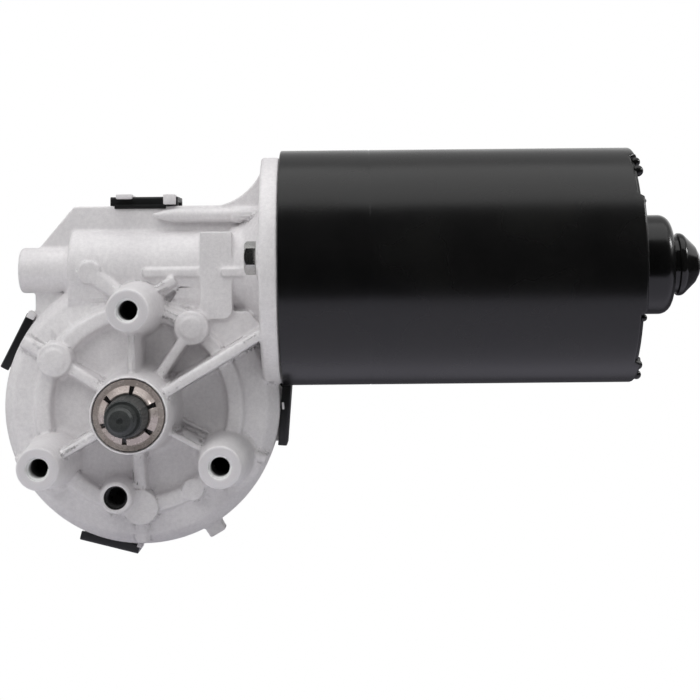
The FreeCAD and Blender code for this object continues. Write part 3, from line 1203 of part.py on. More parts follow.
def top_clip():
    """The same clip across the straight top edge, with windows for the two ears."""
    rise = PLATE_TOP_Z - RIM_R
    face = Part.Face(rounded_wire(clip_section(), lambda p: V(TOP_CLIP_X, p.y, p.x + rise)))
    body = face.extrude(V(TOP_CLIP_LENGTH, 0, 0))
    windows = [block(x0 - WINDOW_GAP, x1 + WINDOW_GAP, MOTOR_Y + LUG_START - WINDOW_GAP, COVER_Y,
                     PLATE_TOP_Z, PLATE_TOP_Z + 2 * EAR_RISE) for x0, x1 in TOP_CLIP_WINDOWS]
    return body.cut(windows)


def connector_housing():
    """Plug socket on the cover's back, open downwards, with a latch ridge."""
    front = DOME_BACK_Y
    back = front + SOCKET_DEPTH
    half = SOCKET_HALF_WIDTH
    inside = half - SOCKET_WALL
    body = slab([(-half, SOCKET_MOUTH_Z, 0), (half, SOCKET_MOUTH_Z, 0), (half, SOCKET_END_Z, SOCKET_WALL),
                 (-half, SOCKET_END_Z, SOCKET_WALL)], front, back)
    hollow = block(-inside, inside, front + SOCKET_WALL, back - SOCKET_WALL, SOCKET_MOUTH_Z - OVERRUN,
                   SOCKET_END_Z - SOCKET_FLOOR)
    low, crest, top = (SOCKET_MOUTH_Z + place for place in LATCH_PLACES)
    latch = beam([(back - LAP, low, 0), (back + LATCH_RISE, crest, 0), (back + LATCH_RISE, top, 0),
                  (back - LAP, top, 0)], -LATCH_HALF, LATCH_HALF)
    return body.cut([hollow] + [blade_form(k, 0.0) for k in range(BLADES)]).fuse(latch)


def blade_form(k, gap):
    """Blade k of the socket, or with no gap the slot that holds it."""
    pitch = 2 * (SOCKET_HALF_WIDTH - SOCKET_WALL) / BLADES
    x = (k - (BLADES - 1) / 2) * pitch
    y = DOME_BACK_Y + SOCKET_DEPTH / 2
    half = BLADE_WIDTH / 2 - gap
    thick = BLADE_THICK / 2 - gap
    low = SOCKET_END_Z - SOCKET_FLOOR - BLADE_LENGTH
    return block(x - half, x + half, y - thick, y + thick, low, SOCKET_END_Z - SOCKET_WALL)


def connector_blades():
    return Part.makeCompound([blade_form(k, BLADE_FIT) for k in range(BLADES)])


# Flange screws, washers and seals

def flange_gasket():
    """Rubber ring between the spigot and the can."""
    outer = CAN_BORE_R - RUNNING_FIT
    inner = outer - GASKET_WIDTH
    start = FLANGE_FACE_X + SPIGOT_LENGTH
    end = start + GASKET_HEIGHT
    return about_motor([(start, inner, 0), (start, outer, 0), (end, outer, EDGE_ROUND),
                        (end, inner, EDGE_ROUND)])


def flange_screw():
    """Hexagon screw on the motor's axis, before it is moved to its place."""
    face = FLANGE_BACK_X - SCREW_BOSS_RISE
    crown_x = face - SCREW_HEAD_THICK
    corner_r = SCREW_HEAD_FLATS / 2 / cos(pi / 6)
    points = []
    for k in range(7):
        y, z = polar(corner_r, 60 * k + 30)
        points.append(V(crown_x, MOTOR_Y + y, MOTOR_Z + z))
    head = Part.Face(Part.makePolygon(points)).extrude(V(SCREW_HEAD_THICK, 0, 0))
    outside = corner_r + SLIDE_GAP
    crown = about_motor([(crown_x, 0, 0), (crown_x, corner_r - SCREW_CHAMFER, 0),
                         (crown_x + SCREW_CHAMFER, outside, 0),
                         (face, outside, 0), (face, 0, 0)])
    stem = rod_x(SCREW_R, face - LAP, BRUSH_PLATE_X - SLIDE_GAP)
    return head.common(crown).fuse(stem)


def flange_screws():
    return Part.makeCompound(at_screws(flange_screw()))


def shaft_seal():
    inner = SHAFT_R + RUNNING_FIT
    back = POCKET_FLOOR_Y + SEAL_THICK
    return about_shaft([(inner, POCKET_FLOOR_Y, 0), (BUSH_OUTER_R, POCKET_FLOOR_Y, 0),
                        (BUSH_OUTER_R, back, EDGE_ROUND), (inner, back, EDGE_ROUND)])


def shim_washer():
    front = POCKET_FLOOR_Y - SHIM_THICK
    back = POCKET_FLOOR_Y - RUNNING_FIT
    outer = BUSH_OUTER_R + SHIM_OVERHANG
    return about_shaft([(SHAFT_R, front, 0), (outer, front, 0), (outer, back, 0), (SHAFT_R, back, 0)])


def build():
    front_bush_y = POCKET_FLOOR_Y + SEAL_THICK
    nodes = {
        "gear_housing": gear_housing(),
        "front_shaft_bush": shaft_bush(front_bush_y),
        "inner_shaft_bush": shaft_bush(CHAMBER_Y - BUSH_LENGTH),
        "shaft_seal": shaft_seal(),
        "nose_bush": nose_bush(),
        "thrust_screw": thrust_screw(),
        "thrust_pad": thrust_pad(),
        "bearing_outer_ring": bearing_ring(BEARING_OUTER_R - RING_DEPTH, BEARING_OUTER_R),
        "motor_can": motor_can(),
        "end_bell": end_bell(),
        "end_cap": end_cap(),
        "tail_bush": tail_bush(),
        "bearing_carrier": bearing_carrier(),
        "magnets": magnets(),
        "magnet_clips": magnet_clips(),
        "brush_plate": brush_plate(),
        "flange_gasket": flange_gasket(),
        "flange_screws": flange_screws(),
        "cover_gasket": cover_gasket(),
        "rear_cover": rear_cover(),
        "contact_carrier": contact_carrier(),
        "park_contacts": park_contacts(),
        "cover_clip_top": top_clip(),
        "connector_housing": connector_housing(),
        "connector_blades": connector_blades(),
        "output_shaft": output_shaft(),
        "star_washer": star_washer(),
        "shim_washer": shim_washer(),
        "drive_gear": drive_gear(),
        "gear_hub": gear_hub(),
        "park_disc": park_disc(),
        "armature_shaft": armature_shaft(),
        "bearing_inner_ring": bearing_ring(ARMATURE_SHAFT_R, ARMATURE_SHAFT_R + RING_DEPTH),
        "bearing_balls": bearing_balls(),
        "armature_core": armature_core(),
        "armature_windings": armature_windings(),
        "commutator": commutator(),
        "commutator_sleeve": commutator_sleeve(),
    }
    for name, (angle, side) in CLIPS.items():
        nodes["cover_clip_" + name] = round_clip(angle)
    for k in range(len(BRUSH_ANGLES)):
        nodes["brush_holder_%d" % (k + 1)] = at_brush(brush_holder(), k)
        nodes["brush_%d" % (k + 1)] = at_brush(brush(), k)
        nodes["brush_spring_%d" % (k + 1)] = at_brush(brush_spring(), k)
    return nodes


os.makedirs("parts", exist_ok=True)
for node, shape in build().items():
    shape.exportStep("parts/%s.step" % node)
    print("%-20s solids %d  volume %.1f  valid %s" % (node, len(shape.Solids), shape.Volume, shape.isValid()))
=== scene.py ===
# %% [markdown]
# A wiper motor, dressed for a studio picture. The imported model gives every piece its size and
# place, in metres, with the output shaft pointing to -Y, the motor can along +X and +Z up. This
# notebook adds what a camera sees: the soft corners of the casting, the finish of each surface,
# the light and the camera.

# %% Load the fixed frame
import json
from math import atan2, cos, degrees, pi, radians, sin, tan

import bpy
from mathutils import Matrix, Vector

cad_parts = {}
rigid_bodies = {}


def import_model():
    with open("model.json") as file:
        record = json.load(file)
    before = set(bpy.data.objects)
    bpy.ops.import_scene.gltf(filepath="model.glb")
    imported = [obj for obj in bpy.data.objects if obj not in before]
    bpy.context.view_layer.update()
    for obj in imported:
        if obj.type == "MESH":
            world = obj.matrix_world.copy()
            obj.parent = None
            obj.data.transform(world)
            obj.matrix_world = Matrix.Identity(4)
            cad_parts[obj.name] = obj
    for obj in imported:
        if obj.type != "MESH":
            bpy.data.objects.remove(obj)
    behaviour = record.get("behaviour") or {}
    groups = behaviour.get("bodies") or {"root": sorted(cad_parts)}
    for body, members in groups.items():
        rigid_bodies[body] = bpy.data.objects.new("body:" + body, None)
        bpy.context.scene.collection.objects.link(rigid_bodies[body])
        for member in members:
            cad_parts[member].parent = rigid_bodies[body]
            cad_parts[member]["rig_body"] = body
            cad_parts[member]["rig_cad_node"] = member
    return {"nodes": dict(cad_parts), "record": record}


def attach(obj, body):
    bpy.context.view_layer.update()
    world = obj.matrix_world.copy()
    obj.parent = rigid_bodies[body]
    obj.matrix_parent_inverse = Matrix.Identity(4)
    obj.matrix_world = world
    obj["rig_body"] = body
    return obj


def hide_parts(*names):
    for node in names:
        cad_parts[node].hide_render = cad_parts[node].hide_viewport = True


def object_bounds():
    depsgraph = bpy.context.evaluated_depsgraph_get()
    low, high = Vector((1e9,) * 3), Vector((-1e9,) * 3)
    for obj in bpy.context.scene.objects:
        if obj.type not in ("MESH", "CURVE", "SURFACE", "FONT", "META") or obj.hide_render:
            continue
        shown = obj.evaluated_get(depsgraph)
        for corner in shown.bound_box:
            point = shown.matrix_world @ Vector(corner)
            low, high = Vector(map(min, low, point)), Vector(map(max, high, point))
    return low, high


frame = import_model()
cad_low, cad_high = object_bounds()
nodes = frame["nodes"]
MM = 0.001
print("CAD box, mm:", [round(value / MM, 1) for value in cad_high - cad_low])

# %% [markdown]
# The camera stands half a metre in front, level with the motor's axis, with a long lens. The
# picture's middle is lower than the lens looks, so the frame is shifted down, as a view camera
# does it, and no upright lines lean.

# %% Camera
FRAME_PIXELS = 700
FOCAL_PIXELS = 1673.6
HORIZON_PIXEL = 267.5
CAMERA_PLACE = (0.0743, -0.556, 0.0486)
CAMERA_ROLL = radians(0.55)

bpy.ops.object.camera_add(location=CAMERA_PLACE, rotation=(pi / 2, CAMERA_ROLL, 0))
camera = bpy.context.object
camera.name = "studio_camera"
camera.data.sensor_width = 36.0
camera.data.lens = camera.data.sensor_width * FOCAL_PIXELS / FRAME_PIXELS
camera.data.shift_y = (HORIZON_PIXEL - FRAME_PIXELS / 2) / FRAME_PIXELS
camera.data.clip_start = 0.01
bpy.context.scene.camera = camera
bpy.context.scene.view_settings.view_transform = "Standard"
print("lens, mm:", round(camera.data.lens, 1))

# %% [markdown]
# A material is a graph of nodes. Written one node at a time it's long to read, so a few small
# classes help. Value wraps a socket, and Python's plus, minus, times and less-than on it add Math
# nodes. Graph adds any other node through a single method, which sets the node's own settings
# before its sockets. Paint is the graph of one material.

# %% Shader maths


class Value:
    """What a node gives. Arithmetic on it adds nodes to its graph."""

    def __init__(self, graph, socket):
        self.graph = graph
        self.socket = socket

    def __add__(self, other):
        return self.graph.maths("ADD", self, other)

    def __sub__(self, other):
        return self.graph.maths("SUBTRACT", self, other)

    def __mul__(self, other):
        return self.graph.maths("MULTIPLY", self, other)

    def __rsub__(self, other):
        return self.graph.maths("SUBTRACT", other, self)

    def __lt__(self, other):
        return self.graph.maths("LESS_THAN", self, other)

    __radd__ = __add__
    __rmul__ = __mul__


class Graph:
    """The nodes of a material or a world, and the ways to add to them."""

    def __init__(self, tree):
        self.tree = tree

    def put(self, socket, value):
        if isinstance(value, Value):
            self.tree.links.new(value.socket, socket)
        else:
            socket.default_value = value

    def node(self, kind, settings=None, inputs=None, output=0):
        made = self.tree.nodes.new("ShaderNode" + kind)
        for name, value in (settings or {}).items():
            setattr(made, name, value)
        for name, value in (inputs or {}).items():
            self.put(made.inputs[name], value)
        return Value(self, made.outputs[output])

    def maths(self, operation, first, second=0.0):
        return self.node("Math", {"operation": operation}, {0: first, 1: second})

    def fit(self, value, low, high, new_low, new_high):
        """Maps the range low to high of a value onto a new range, and holds it there."""
        inputs = {0: value, 1: low, 2: high, 3: new_low, 4: new_high}
        return self.node("MapRange", {"clamp": True}, inputs)

    def blend(self, factor, first, second):
        """A colour between two colours."""
        inputs = {0: factor, 6: first, 7: second}
        return self.node("Mix", {"data_type": "RGBA"}, inputs, output=2)

    def part(self, vector, axis):
        """One of the three numbers of a vector."""
        return self.node("SeparateXYZ", None, {"Vector": vector}, output=axis)

    def distance(self, first, second):
        """How far two places are apart."""
        settings = {"operation": "DISTANCE"}
        return self.node("VectorMath", settings, {0: first, 1: second}, output="Value")


class Paint(Graph):
    """One material with a Principled shader, and the ways to fill it."""

    def __init__(self, name):
        self.material = bpy.data.materials.new(name)
        self.material.use_nodes = True
        super().__init__(self.material.node_tree)
        self.shader = self.tree.nodes["Principled BSDF"]
        self.place = self.node("TexCoord", output="Object")

    def noise(self, size, detail=2.0, place=None):
        """Soft random values from 0 to 1, with patches about size metres across."""
        inputs = {"Vector": place or self.place, "Scale": 1.0 / size, "Detail": detail}
        return self.node("TexNoise", None, inputs)

    def stretched(self, x, y, z):
        """The place on the piece, scaled along each axis."""
        return self.node("Mapping", None, {"Vector": self.place, "Scale": (x, y, z)})

    def bump(self, height, depth):
        """A surface raised by up to depth metres where height is 1."""
        return self.node("Bump", None, {"Height": height, "Distance": depth, "Strength": 1.0})

    def finish(self, colour, roughness, metallic=0.0, normal=None):
        """Fills the shader and gives the material."""
        self.put(self.shader.inputs["Base Color"], colour)
        self.put(self.shader.inputs["Roughness"], roughness)
        self.put(self.shader.inputs["Metallic"], metallic)
        if normal is not None:
            self.put(self.shader.inputs["Normal"], normal)
        return self.material


def grey(level, warm=0.0):
    """A grey with a little warmth, or a little blue where warm is below zero."""
    return (level * (1 + warm), level, level * (1 - warm), 1.0)


WHITE = (1.0, 1.0, 1.0, 1.0)
print("a mid grey:", grey(0.5))

# %% [markdown]
# The light is soft, as in a white tent. The background is white for the camera and for
# reflections, and dimmer for the light that falls on the object, so pale metal keeps its tone. In
# reflections it also gets darker with height, where the softboxes hang, and the floor behind the
# object is dark there, so that the under side of the black can doesn't turn pale.

# %% World and floor
AMBIENT = 0.25
DIM_FROM = 0.30
DIM_TO = 0.55
DIMMEST = 0.45
FLOOR_LEVEL = cad_low.z - 0.0005
FLOOR_SIZE = 8.0
FLOOR_IN_GLOSS = (0.70, 0.68, 0.78, 1.0)
BEHIND_FROM = 0.055
BEHIND_TO = 0.12
BEHIND_SHARE = 0.15


def light_path(graph):
    """One where the camera, a mirror or a clear piece looks, and nought where light is gathered."""
    names = ("Is Camera Ray", "Is Glossy Ray", "Is Transmission Ray")
    seen = [graph.node("LightPath", output=name) for name in names]
    return graph.maths("MAXIMUM", graph.maths("MAXIMUM", seen[0], seen[1]), seen[2])


def make_world():
    world = bpy.data.worlds.new("white_studio")
    world.use_nodes = True
    bpy.context.scene.world = world
    sky = Graph(world.node_tree)
    background = sky.tree.nodes["Background"]
    sky.put(background.inputs["Color"], WHITE)
    height = sky.part(sky.node("TexCoord", output="Generated"), "Z")
    gloss = sky.node("LightPath", output="Is Glossy Ray")
    dimmed = sky.fit(gloss * height, DIM_FROM, DIM_TO, 1.0, DIMMEST)
    sky.put(background.inputs["Strength"], sky.fit(light_path(sky), 0, 1, AMBIENT, 1.0) * dimmed)


def make_floor():
    bpy.ops.mesh.primitive_plane_add(size=FLOOR_SIZE, location=(0.0, 0.0, FLOOR_LEVEL))
    floor = bpy.context.object
    floor.name = "pale_floor"
    paint = Paint("pale_floor")
    specks = paint.blend(paint.noise(0.02, 3.0), grey(0.78), grey(0.82))
    diffuse = paint.node("BsdfDiffuse", None, {"Color": specks})
    gloss = paint.node("LightPath", output="Is Glossy Ray")
    depth = paint.part(paint.place, "Y")
    behind = paint.fit(depth, BEHIND_FROM, BEHIND_TO, 1.0, BEHIND_SHARE)
    tint = paint.blend(gloss, WHITE, paint.blend(behind, grey(0.0), FLOOR_IN_GLOSS))
    white = paint.node("Emission", None, {"Color": tint, "Strength": 1.0})
    shown = paint.node("MixShader", None, {0: light_path(paint), 1: diffuse, 2: white})
    paint.put(paint.tree.nodes["Material Output"].inputs["Surface"], shown)
    floor.data.materials.append(paint.material)


make_world()
make_floor()
print("floor level, mm:", round(FLOOR_LEVEL / MM, 2))

# %% [markdown]
# Two softboxes light the object from above and from the front, and reflections don't see them. A
# third one hangs above mainly to be seen: it makes the grey band along the top of the can. A small
# bright one at the side gives the bearing cup its highlight. Two dark cards, which only
# reflections see, give the black paint its depth.

# %% Softboxes and dark cards
MIDDLE = (cad_low + cad_high) / 2


def softbox(name, place, width, height, radiance, seen_in_gloss=True):
    """A soft rectangular lamp that looks at the middle of the object."""
    bpy.ops.object.light_add(type="AREA", location=place)
    lamp = bpy.context.object
    lamp.name = name
    lamp.rotation_mode = "QUATERNION"
    lamp.rotation_quaternion = (MIDDLE - Vector(place)).to_track_quat("-Z", "Y")
    lamp.data.shape = "RECTANGLE"
    lamp.data.size = width
    lamp.data.size_y = height
    lamp.data.energy = radiance * pi * width * height
    lamp.visible_glossy = seen_in_gloss
    print(name, "watts:", round(lamp.data.energy, 2))


def dark_card(name, place, width, height, turn):
    """A black upright card that only reflections see, facing the object."""
    bpy.ops.mesh.primitive_plane_add(size=1.0, location=place, rotation=(pi / 2, 0, turn))
    card = bpy.context.object
    card.name = name
    card.scale = (width, height, 1.0)
    card.visible_camera = False
    card.visible_diffuse = False
    card.visible_shadow = False
    card.visible_transmission = False
    paint = Paint(name)
    black = paint.blend(paint.noise(0.05), grey(0.001), grey(0.004))
    card.data.materials.append(paint.finish(black, 1.0))


softbox("overhead_softbox", (0.07, -0.10, 0.95), 1.6, 0.42, 1.1, seen_in_gloss=False)
softbox("band_softbox", (0.07, -0.06, 0.95), 1.6, 0.98, 0.75)
softbox("front_softbox", (-0.25, -0.72, 0.68), 1.1, 0.7, 2.2, seen_in_gloss=False)
softbox("side_softbox", (0.90, -0.02, 0.50), 0.15, 0.15, 22.0)
dark_card("front_card", (0.07, -0.15, 0.143), 1.4, 0.435, 0)
dark_card("side_card", (0.60, 0.05, 0.05), 0.9, 0.24, pi / 2)

# %% [markdown]
# The gearbox is die-cast aluminium, blasted with fine shot. Blasting leaves a matt, slightly
# sparkling skin: noise of three sizes gives its colour a soft mottle, and the two finer ones also
# raise the surface by a few hundredths of a millimetre. Only the faces of the three mounting
# bosses are milled afterwards, and those show fine turning rings. A tapped bore is painted pale
# grey at its mouth, and further in painted shade turns it black, where no light gets to.

# %% Cast aluminium
SKIN_DARK = (0.66, 0.642, 0.655, 1)
SKIN_LIGHT = (0.83, 0.812, 0.818, 1)
MILLED_DARK = (0.62, 0.60, 0.62, 1)
MILLED_LIGHT = (0.74, 0.72, 0.74, 1)
MILLED_DEPTH = 0.25 * MM
RING_PITCH = 0.35 * MM
BORE_R = 4.1 * MM
# Depths in the tapped bores where the painted shade starts and where it is full.
BORE_SHADE_START = 2.5 * MM
BORE_SHADE_FULL = 8.0 * MM

mounts = {mount["name"]: mount for mount in frame["record"]["mounts"]}
MOUNT_R = mounts["mounting_bosses"]["dims"]["pcd_mm"] * MM / 2
MOUNT_PLACES = [(MOUNT_R * cos(radians(turn)), 0.0, MOUNT_R * sin(radians(turn)))
                for turn in (90, 210, 330)]
SMALL_BOSS = mounts["small_boss_thread"]["pos_m"]
BORE_PLACES = MOUNT_PLACES + [(SMALL_BOSS[0], 0.0, SMALL_BOSS[2])]


def cast_aluminium():
    paint = Paint("cast_aluminium")
    patches = paint.noise(14 * MM, 3.0)
    mottle = paint.noise(1.3 * MM, 4.0)
    grain = paint.noise(0.35 * MM, 2.0)
    tone = paint.fit(patches * 0.4 + mottle * 0.35 + grain * 0.25, 0.34, 0.66, 0.0, 1.0)
    skin = paint.blend(tone, SKIN_DARK, SKIN_LIGHT)

    depth = paint.part(paint.place, "Y")
    reach = [paint.distance(paint.place, place) for place in MOUNT_PLACES]
    nearest = paint.maths("MINIMUM", paint.maths("MINIMUM", reach[0], reach[1]), reach[2])
    rings = paint.maths("SINE", nearest * (2 * pi / RING_PITCH)) * 0.5 + 0.5
    milled = (depth < MILLED_DEPTH) * (nearest < 0.25 * MOUNT_R)
    colour = paint.blend(milled, skin, paint.blend(rings, MILLED_DARK, MILLED_LIGHT))

    flat = paint.stretched(1, 0, 1)
    bored = sum(paint.distance(flat, place) < BORE_R for place in BORE_PLACES)
    # Painted shade: inside each tapped bore the colour fades from pale grey to near black with
    # depth.
    shade = paint.blend(paint.fit(depth, BORE_SHADE_START, BORE_SHADE_FULL, 0, 1), grey(0.85), grey(0.03))
    colour = paint.blend(bored, colour, shade)

    machined = paint.maths("MAXIMUM", milled, bored)
    roughness = paint.fit(machined, 0, 1, 0.52, 0.34) + grain * 0.08
    blasted = (grain * 0.6 + mottle * 0.4) * (1 - machined)
    height = blasted + rings * machined * 0.25
    return paint.finish(colour, roughness, 0.2, paint.bump(height, 0.07 * MM))


finishes = {"cast_aluminium": cast_aluminium()}
print("tapped bores:", len(BORE_PLACES))

# %% [markdown]
# The can is deep-drawn steel under a satin black enamel. Enamel is never quite flat: a slow ripple
# bends the reflections a little, and the gloss changes from place to place. The end bell and the
# cap are glossier. A black moulding is duller, with a fine spark where light catches its grain,
# and the black finish of the spring clips looks much the same.

# %% Black enamels and mouldings
# Brightness, roughness and the depth of the ripple in mm.
ENAMELS = {
    "satin_black_paint": (0.0045, 0.26, 0.006),
    "gloss_black_paint": (0.004, 0.22, 0.003),
    "gloss_black_plastic": (0.004, 0.13, 0.002),
}
# Brightness and roughness.
BLACK_MOULDINGS = {
    "black_plastic": (0.012, 0.42),
    "black_spring_steel": (0.01, 0.38),
}


def black_enamel(name, level, roughness, ripple):
    paint = Paint(name)
    cloud = paint.noise(30 * MM, 3.0)
    peel = paint.noise(1.1 * MM, 2.0)
    dust = paint.fit(paint.noise(0.5 * MM, 1.0), 0.66, 0.74, 0.0, 0.02)
    tone = paint.fit(cloud, 0.35, 0.65, 0, 1)
    colour = paint.blend(tone, grey(level * 0.8, -0.03), grey(level * 1.3, 0.02))
    colour = paint.blend(dust, colour, grey(0.3))
    gloss = paint.fit(cloud, 0.3, 0.7, roughness - 0.03, roughness + 0.04)
    return paint.finish(colour, gloss, 0.0, paint.bump(peel, ripple * MM))


def black_moulding(name, level, roughness):
    paint = Paint(name)
    spark = paint.noise(0.3 * MM, 3.0)
    cloud = paint.noise(18 * MM, 2.0)
    colour = paint.blend(cloud, grey(level * 0.7, -0.02), grey(level * 1.4, -0.04))
    return paint.finish(colour, roughness + spark * 0.12, 0.0, paint.bump(spark, 0.05 * MM))


for name, values in ENAMELS.items():
    finishes[name] = black_enamel(name, *values)
for name, values in BLACK_MOULDINGS.items():
    finishes[name] = black_moulding(name, *values)
print("finishes so far:", len(finishes))

# %% [markdown]
# Bare metals share one recipe: a base colour, streaks along the way the tool went, and a roughness
# that changes with the streaks. What differs is the colour, how deep the streaks are and which way
# they run: round the armature's shaft, between the sheets of its core or along its windings.

# %% Bare metals
EVEN = (1, 1, 1)
ALONG_MOTOR = (0.08, 1, 1)
SHEETS = (2.5, 0.02, 0.02)
WINDINGS = (0.15, 1, 1)
# The dark and the light colour and the roughness, then the way of the streaks, their size and
# depth in mm and the share of metal, where they aren't the usual ones.
METALS = {
    "sintered_bronze": ((0.33, 0.21, 0.11, 1), (0.50, 0.34, 0.19, 1), 0.42),
    "zinc_steel": ((0.50, 0.50, 0.49, 1), (0.66, 0.66, 0.64, 1), 0.30, EVEN, 0.4),
    "bearing_steel": (grey(0.46), grey(0.60), 0.22, ALONG_MOTOR, 0.2),
    "spring_steel": (grey(0.34), grey(0.48), 0.30),
    "nickel_spring_steel": ((0.43, 0.365, 0.34, 1), (0.56, 0.50, 0.47, 1), 0.25,
                            EVEN, 2.5, 0.004, 0.45),
    "phosphated_steel": ((0.034, 0.038, 0.038, 1), (0.080, 0.084, 0.082, 1), 0.45,
                         EVEN, 0.4, 0.05, 0.4),
    "laminations": (grey(0.20), grey(0.42), 0.40, SHEETS, 0.5, 0.06),
    "copper": ((0.50, 0.20, 0.10, 1), (0.72, 0.34, 0.19, 1), 0.30, WINDINGS, 0.5, 0.05),
    "brass": ((0.56, 0.40, 0.16, 1), (0.75, 0.57, 0.27, 1), 0.26),
}


def bare_metal(name, dark, light, roughness, streak=EVEN, size=0.6, depth=0.02, metallic=1.0):
    paint = Paint(name)
    lines = paint.noise(size * MM, 3.0, paint.stretched(*streak))
    cloud = paint.noise(7 * MM, 3.0)
    tone = paint.fit(lines * 0.5 + cloud * 0.5, 0.35, 0.65, 0, 1)
    gloss = paint.fit(lines, 0.3, 0.7, roughness - 0.05, roughness + 0.08)
    relief = paint.bump(lines, depth * MM)
    return paint.finish(paint.blend(tone, dark, light), gloss, metallic, relief)


for name, values in METALS.items():
    finishes[name] = bare_metal(name, *values)
print("finishes so far:", len(finishes))

# %% [markdown]
# The rest are magnets, brushes, mouldings, board and rubber. A natural plastic is pale with slow
# clouds; rubber is dark, dull and finely pebbled; pressed board shows flecks of its fibres.

# %% Dull finishes
# The dark and the light colour, the roughness, and the size and depth of the flecks in mm.
DULL = {
    "ferrite": (grey(0.03), grey(0.06), 0.55, 0.4, 0.03),
    "carbon": (grey(0.012), grey(0.05), 0.5, 0.3, 0.03),
    "white_plastic": ((0.66, 0.64, 0.58, 1), (0.78, 0.76, 0.71, 1), 0.34, 2.0, 0.01),
    "black_rubber": (grey(0.008), grey(0.020), 0.62, 0.5, 0.05),
    "board": ((0.10, 0.055, 0.03, 1), (0.24, 0.14, 0.07, 1), 0.5, 0.8, 0.03),
}


def dull_material(name, dark, light, roughness, size, depth):
    paint = Paint(name)
    flecks = paint.noise(size * MM, 4.0)
    cloud = paint.noise(9 * MM, 2.0)
    tone = paint.fit(flecks * 0.6 + cloud * 0.4, 0.35, 0.65, 0, 1)
    relief = paint.bump(flecks, depth * MM)
    return paint.finish(paint.blend(tone, dark, light), roughness + flecks * 0.1, 0.0, relief)


for name, values in DULL.items():
    finishes[name] = dull_material(name, *values)
print("finishes:", len(finishes))

# %% [markdown]
# Each record slot has its finish now, and each node takes the finish of its slot.

# %% The finishes by slot
slots = {row["node"]: row["material_slot"] for row in frame["record"]["subparts"]}


def dress(piece, slot):
    """Gives a piece the finish of a slot, and nothing else."""
    piece.data.materials.clear()
    piece.data.materials.append(finishes[slot])


for name, node in nodes.items():
    dress(node, slots[name])
print("dressed nodes:", len(nodes))

# %% [markdown]
# Every new piece ends in the same way: its place is moved from the object into the mesh, it takes
# the slot of the node that it stands for, it rides on the node's body and it hides that node.

# %% Helpers for new pieces


def alone(piece):
    """Selects one piece and makes it active."""
    bpy.ops.object.select_all(action="DESELECT")
    piece.select_set(True)
    bpy.context.view_layer.objects.active = piece


def joined(piece, *others):
    """Joins other pieces to the first one."""
    alone(piece)
    for other in others:
        other.select_set(True)
    bpy.ops.object.join()
    return piece


def apply_modifier(piece, kind, **settings):
    """Adds a modifier, sets it and applies it to the mesh."""
    alone(piece)
    modifier = piece.modifiers.new(kind.lower(), kind)
    for name, value in settings.items():
        setattr(modifier, name, value)
    bpy.ops.object.modifier_apply(modifier=modifier.name)


def settle(piece, name, body, slot, *stands_for, smooth=40):
    """Finishes a piece: place in the mesh, finish, body, and the nodes that it replaces."""
    piece.name = name
    piece.data.name = name
    alone(piece)
    bpy.ops.object.transform_apply(location=True, rotation=True, scale=True)
    bpy.ops.object.shade_smooth_by_angle(angle=radians(smooth))
    dress(piece, slot)
    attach(piece, body)
    if stands_for:
        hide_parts(*stands_for)
    print(name, "triangles:", sum(len(face.vertices) - 2 for face in piece.data.polygons))


def body_of(node):
    return nodes[node]["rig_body"]


print("bodies:", sorted({body_of(node) for node in nodes}))

# %% [markdown]
# The motor's parts are turned shapes. A circle is extruded ring by ring along the motor's axis and
# resized at each step, which is how a lathe section is drawn by hand. Corners of the section are
# rounded first.

# %% Turned pieces
joints = {joint["name"]: joint for joint in frame["record"]["behaviour"]["joints"]}
MOTOR = joints["armature_spin"]["pos_m"]


def rounded(corners, steps=5):
    """The points of a section with corners (along, radius, rounding)."""
    points = []
    for i, (along, radius, rounding) in enumerate(corners):
        corner = Vector((along, radius))
        if rounding == 0:
            points.append(corner)
            continue
        back = (Vector(corners[i - 1][:2]) - corner).normalized()
        ahead = (Vector(corners[(i + 1) % len(corners)][:2]) - corner).normalized()
        half = back.angle(ahead) / 2
        centre = corner + (back + ahead).normalized() * (rounding / sin(half))
        start = corner + back * (rounding / tan(half)) - centre
        stop = corner + ahead * (rounding / tan(half)) - centre
        points += [centre + start.lerp(stop, k / steps).normalized() * rounding
                   for k in range(steps + 1)]
    return points


def turned_ring(section, sides, axis="X"):
    """Extrudes a circle through points (along, radius) in mm, about the motor or the shaft."""
    along_x = axis == "X"
    way = Vector((1, 0, 0)) if along_x else Vector((0, 1, 0))
    base = Vector((0, MOTOR[1], MOTOR[2])) if along_x else Vector((0, 0, 0))
    rotation = (0, pi / 2, 0) if along_x else (pi / 2, 0, 0)
    along, radius = section[0]
    bpy.ops.mesh.primitive_circle_add(vertices=sides, radius=radius * MM,
                                      location=base + way * along * MM, rotation=rotation)
    piece = bpy.context.object
    bpy.ops.object.mode_set(mode="EDIT")
    for (along, radius), (next_along, next_radius) in zip(section, section[1:]):
        step = {"value": way * (next_along - along) * MM}
        bpy.ops.mesh.extrude_region_move(TRANSFORM_OT_translate=step)
        grow = next_radius / radius
        factors = (1, grow, grow) if along_x else (grow, 1, grow)
        bpy.ops.transform.resize(value=factors, center_override=base + way * next_along * MM)
    return piece


def closed(piece):
    """Merges rings that meet, turns the faces outwards and leaves edit mode."""
    bpy.ops.mesh.select_all(action="SELECT")
    bpy.ops.mesh.remove_doubles(threshold=0.002 * MM)
    bpy.ops.mesh.normals_make_consistent(inside=False)
    bpy.ops.mesh.select_all(action="DESELECT")
    bpy.ops.object.mode_set(mode="OBJECT")
    return piece


def capped(piece):
    """Fills the first and the last ring with flat faces."""
    bpy.ops.mesh.select_all(action="DESELECT")
    bpy.ops.mesh.select_non_manifold(extend=False, use_wire=False, use_multi_face=False,
                                     use_non_contiguous=False, use_verts=False)
    bpy.ops.mesh.edge_face_add()
    return closed(piece)


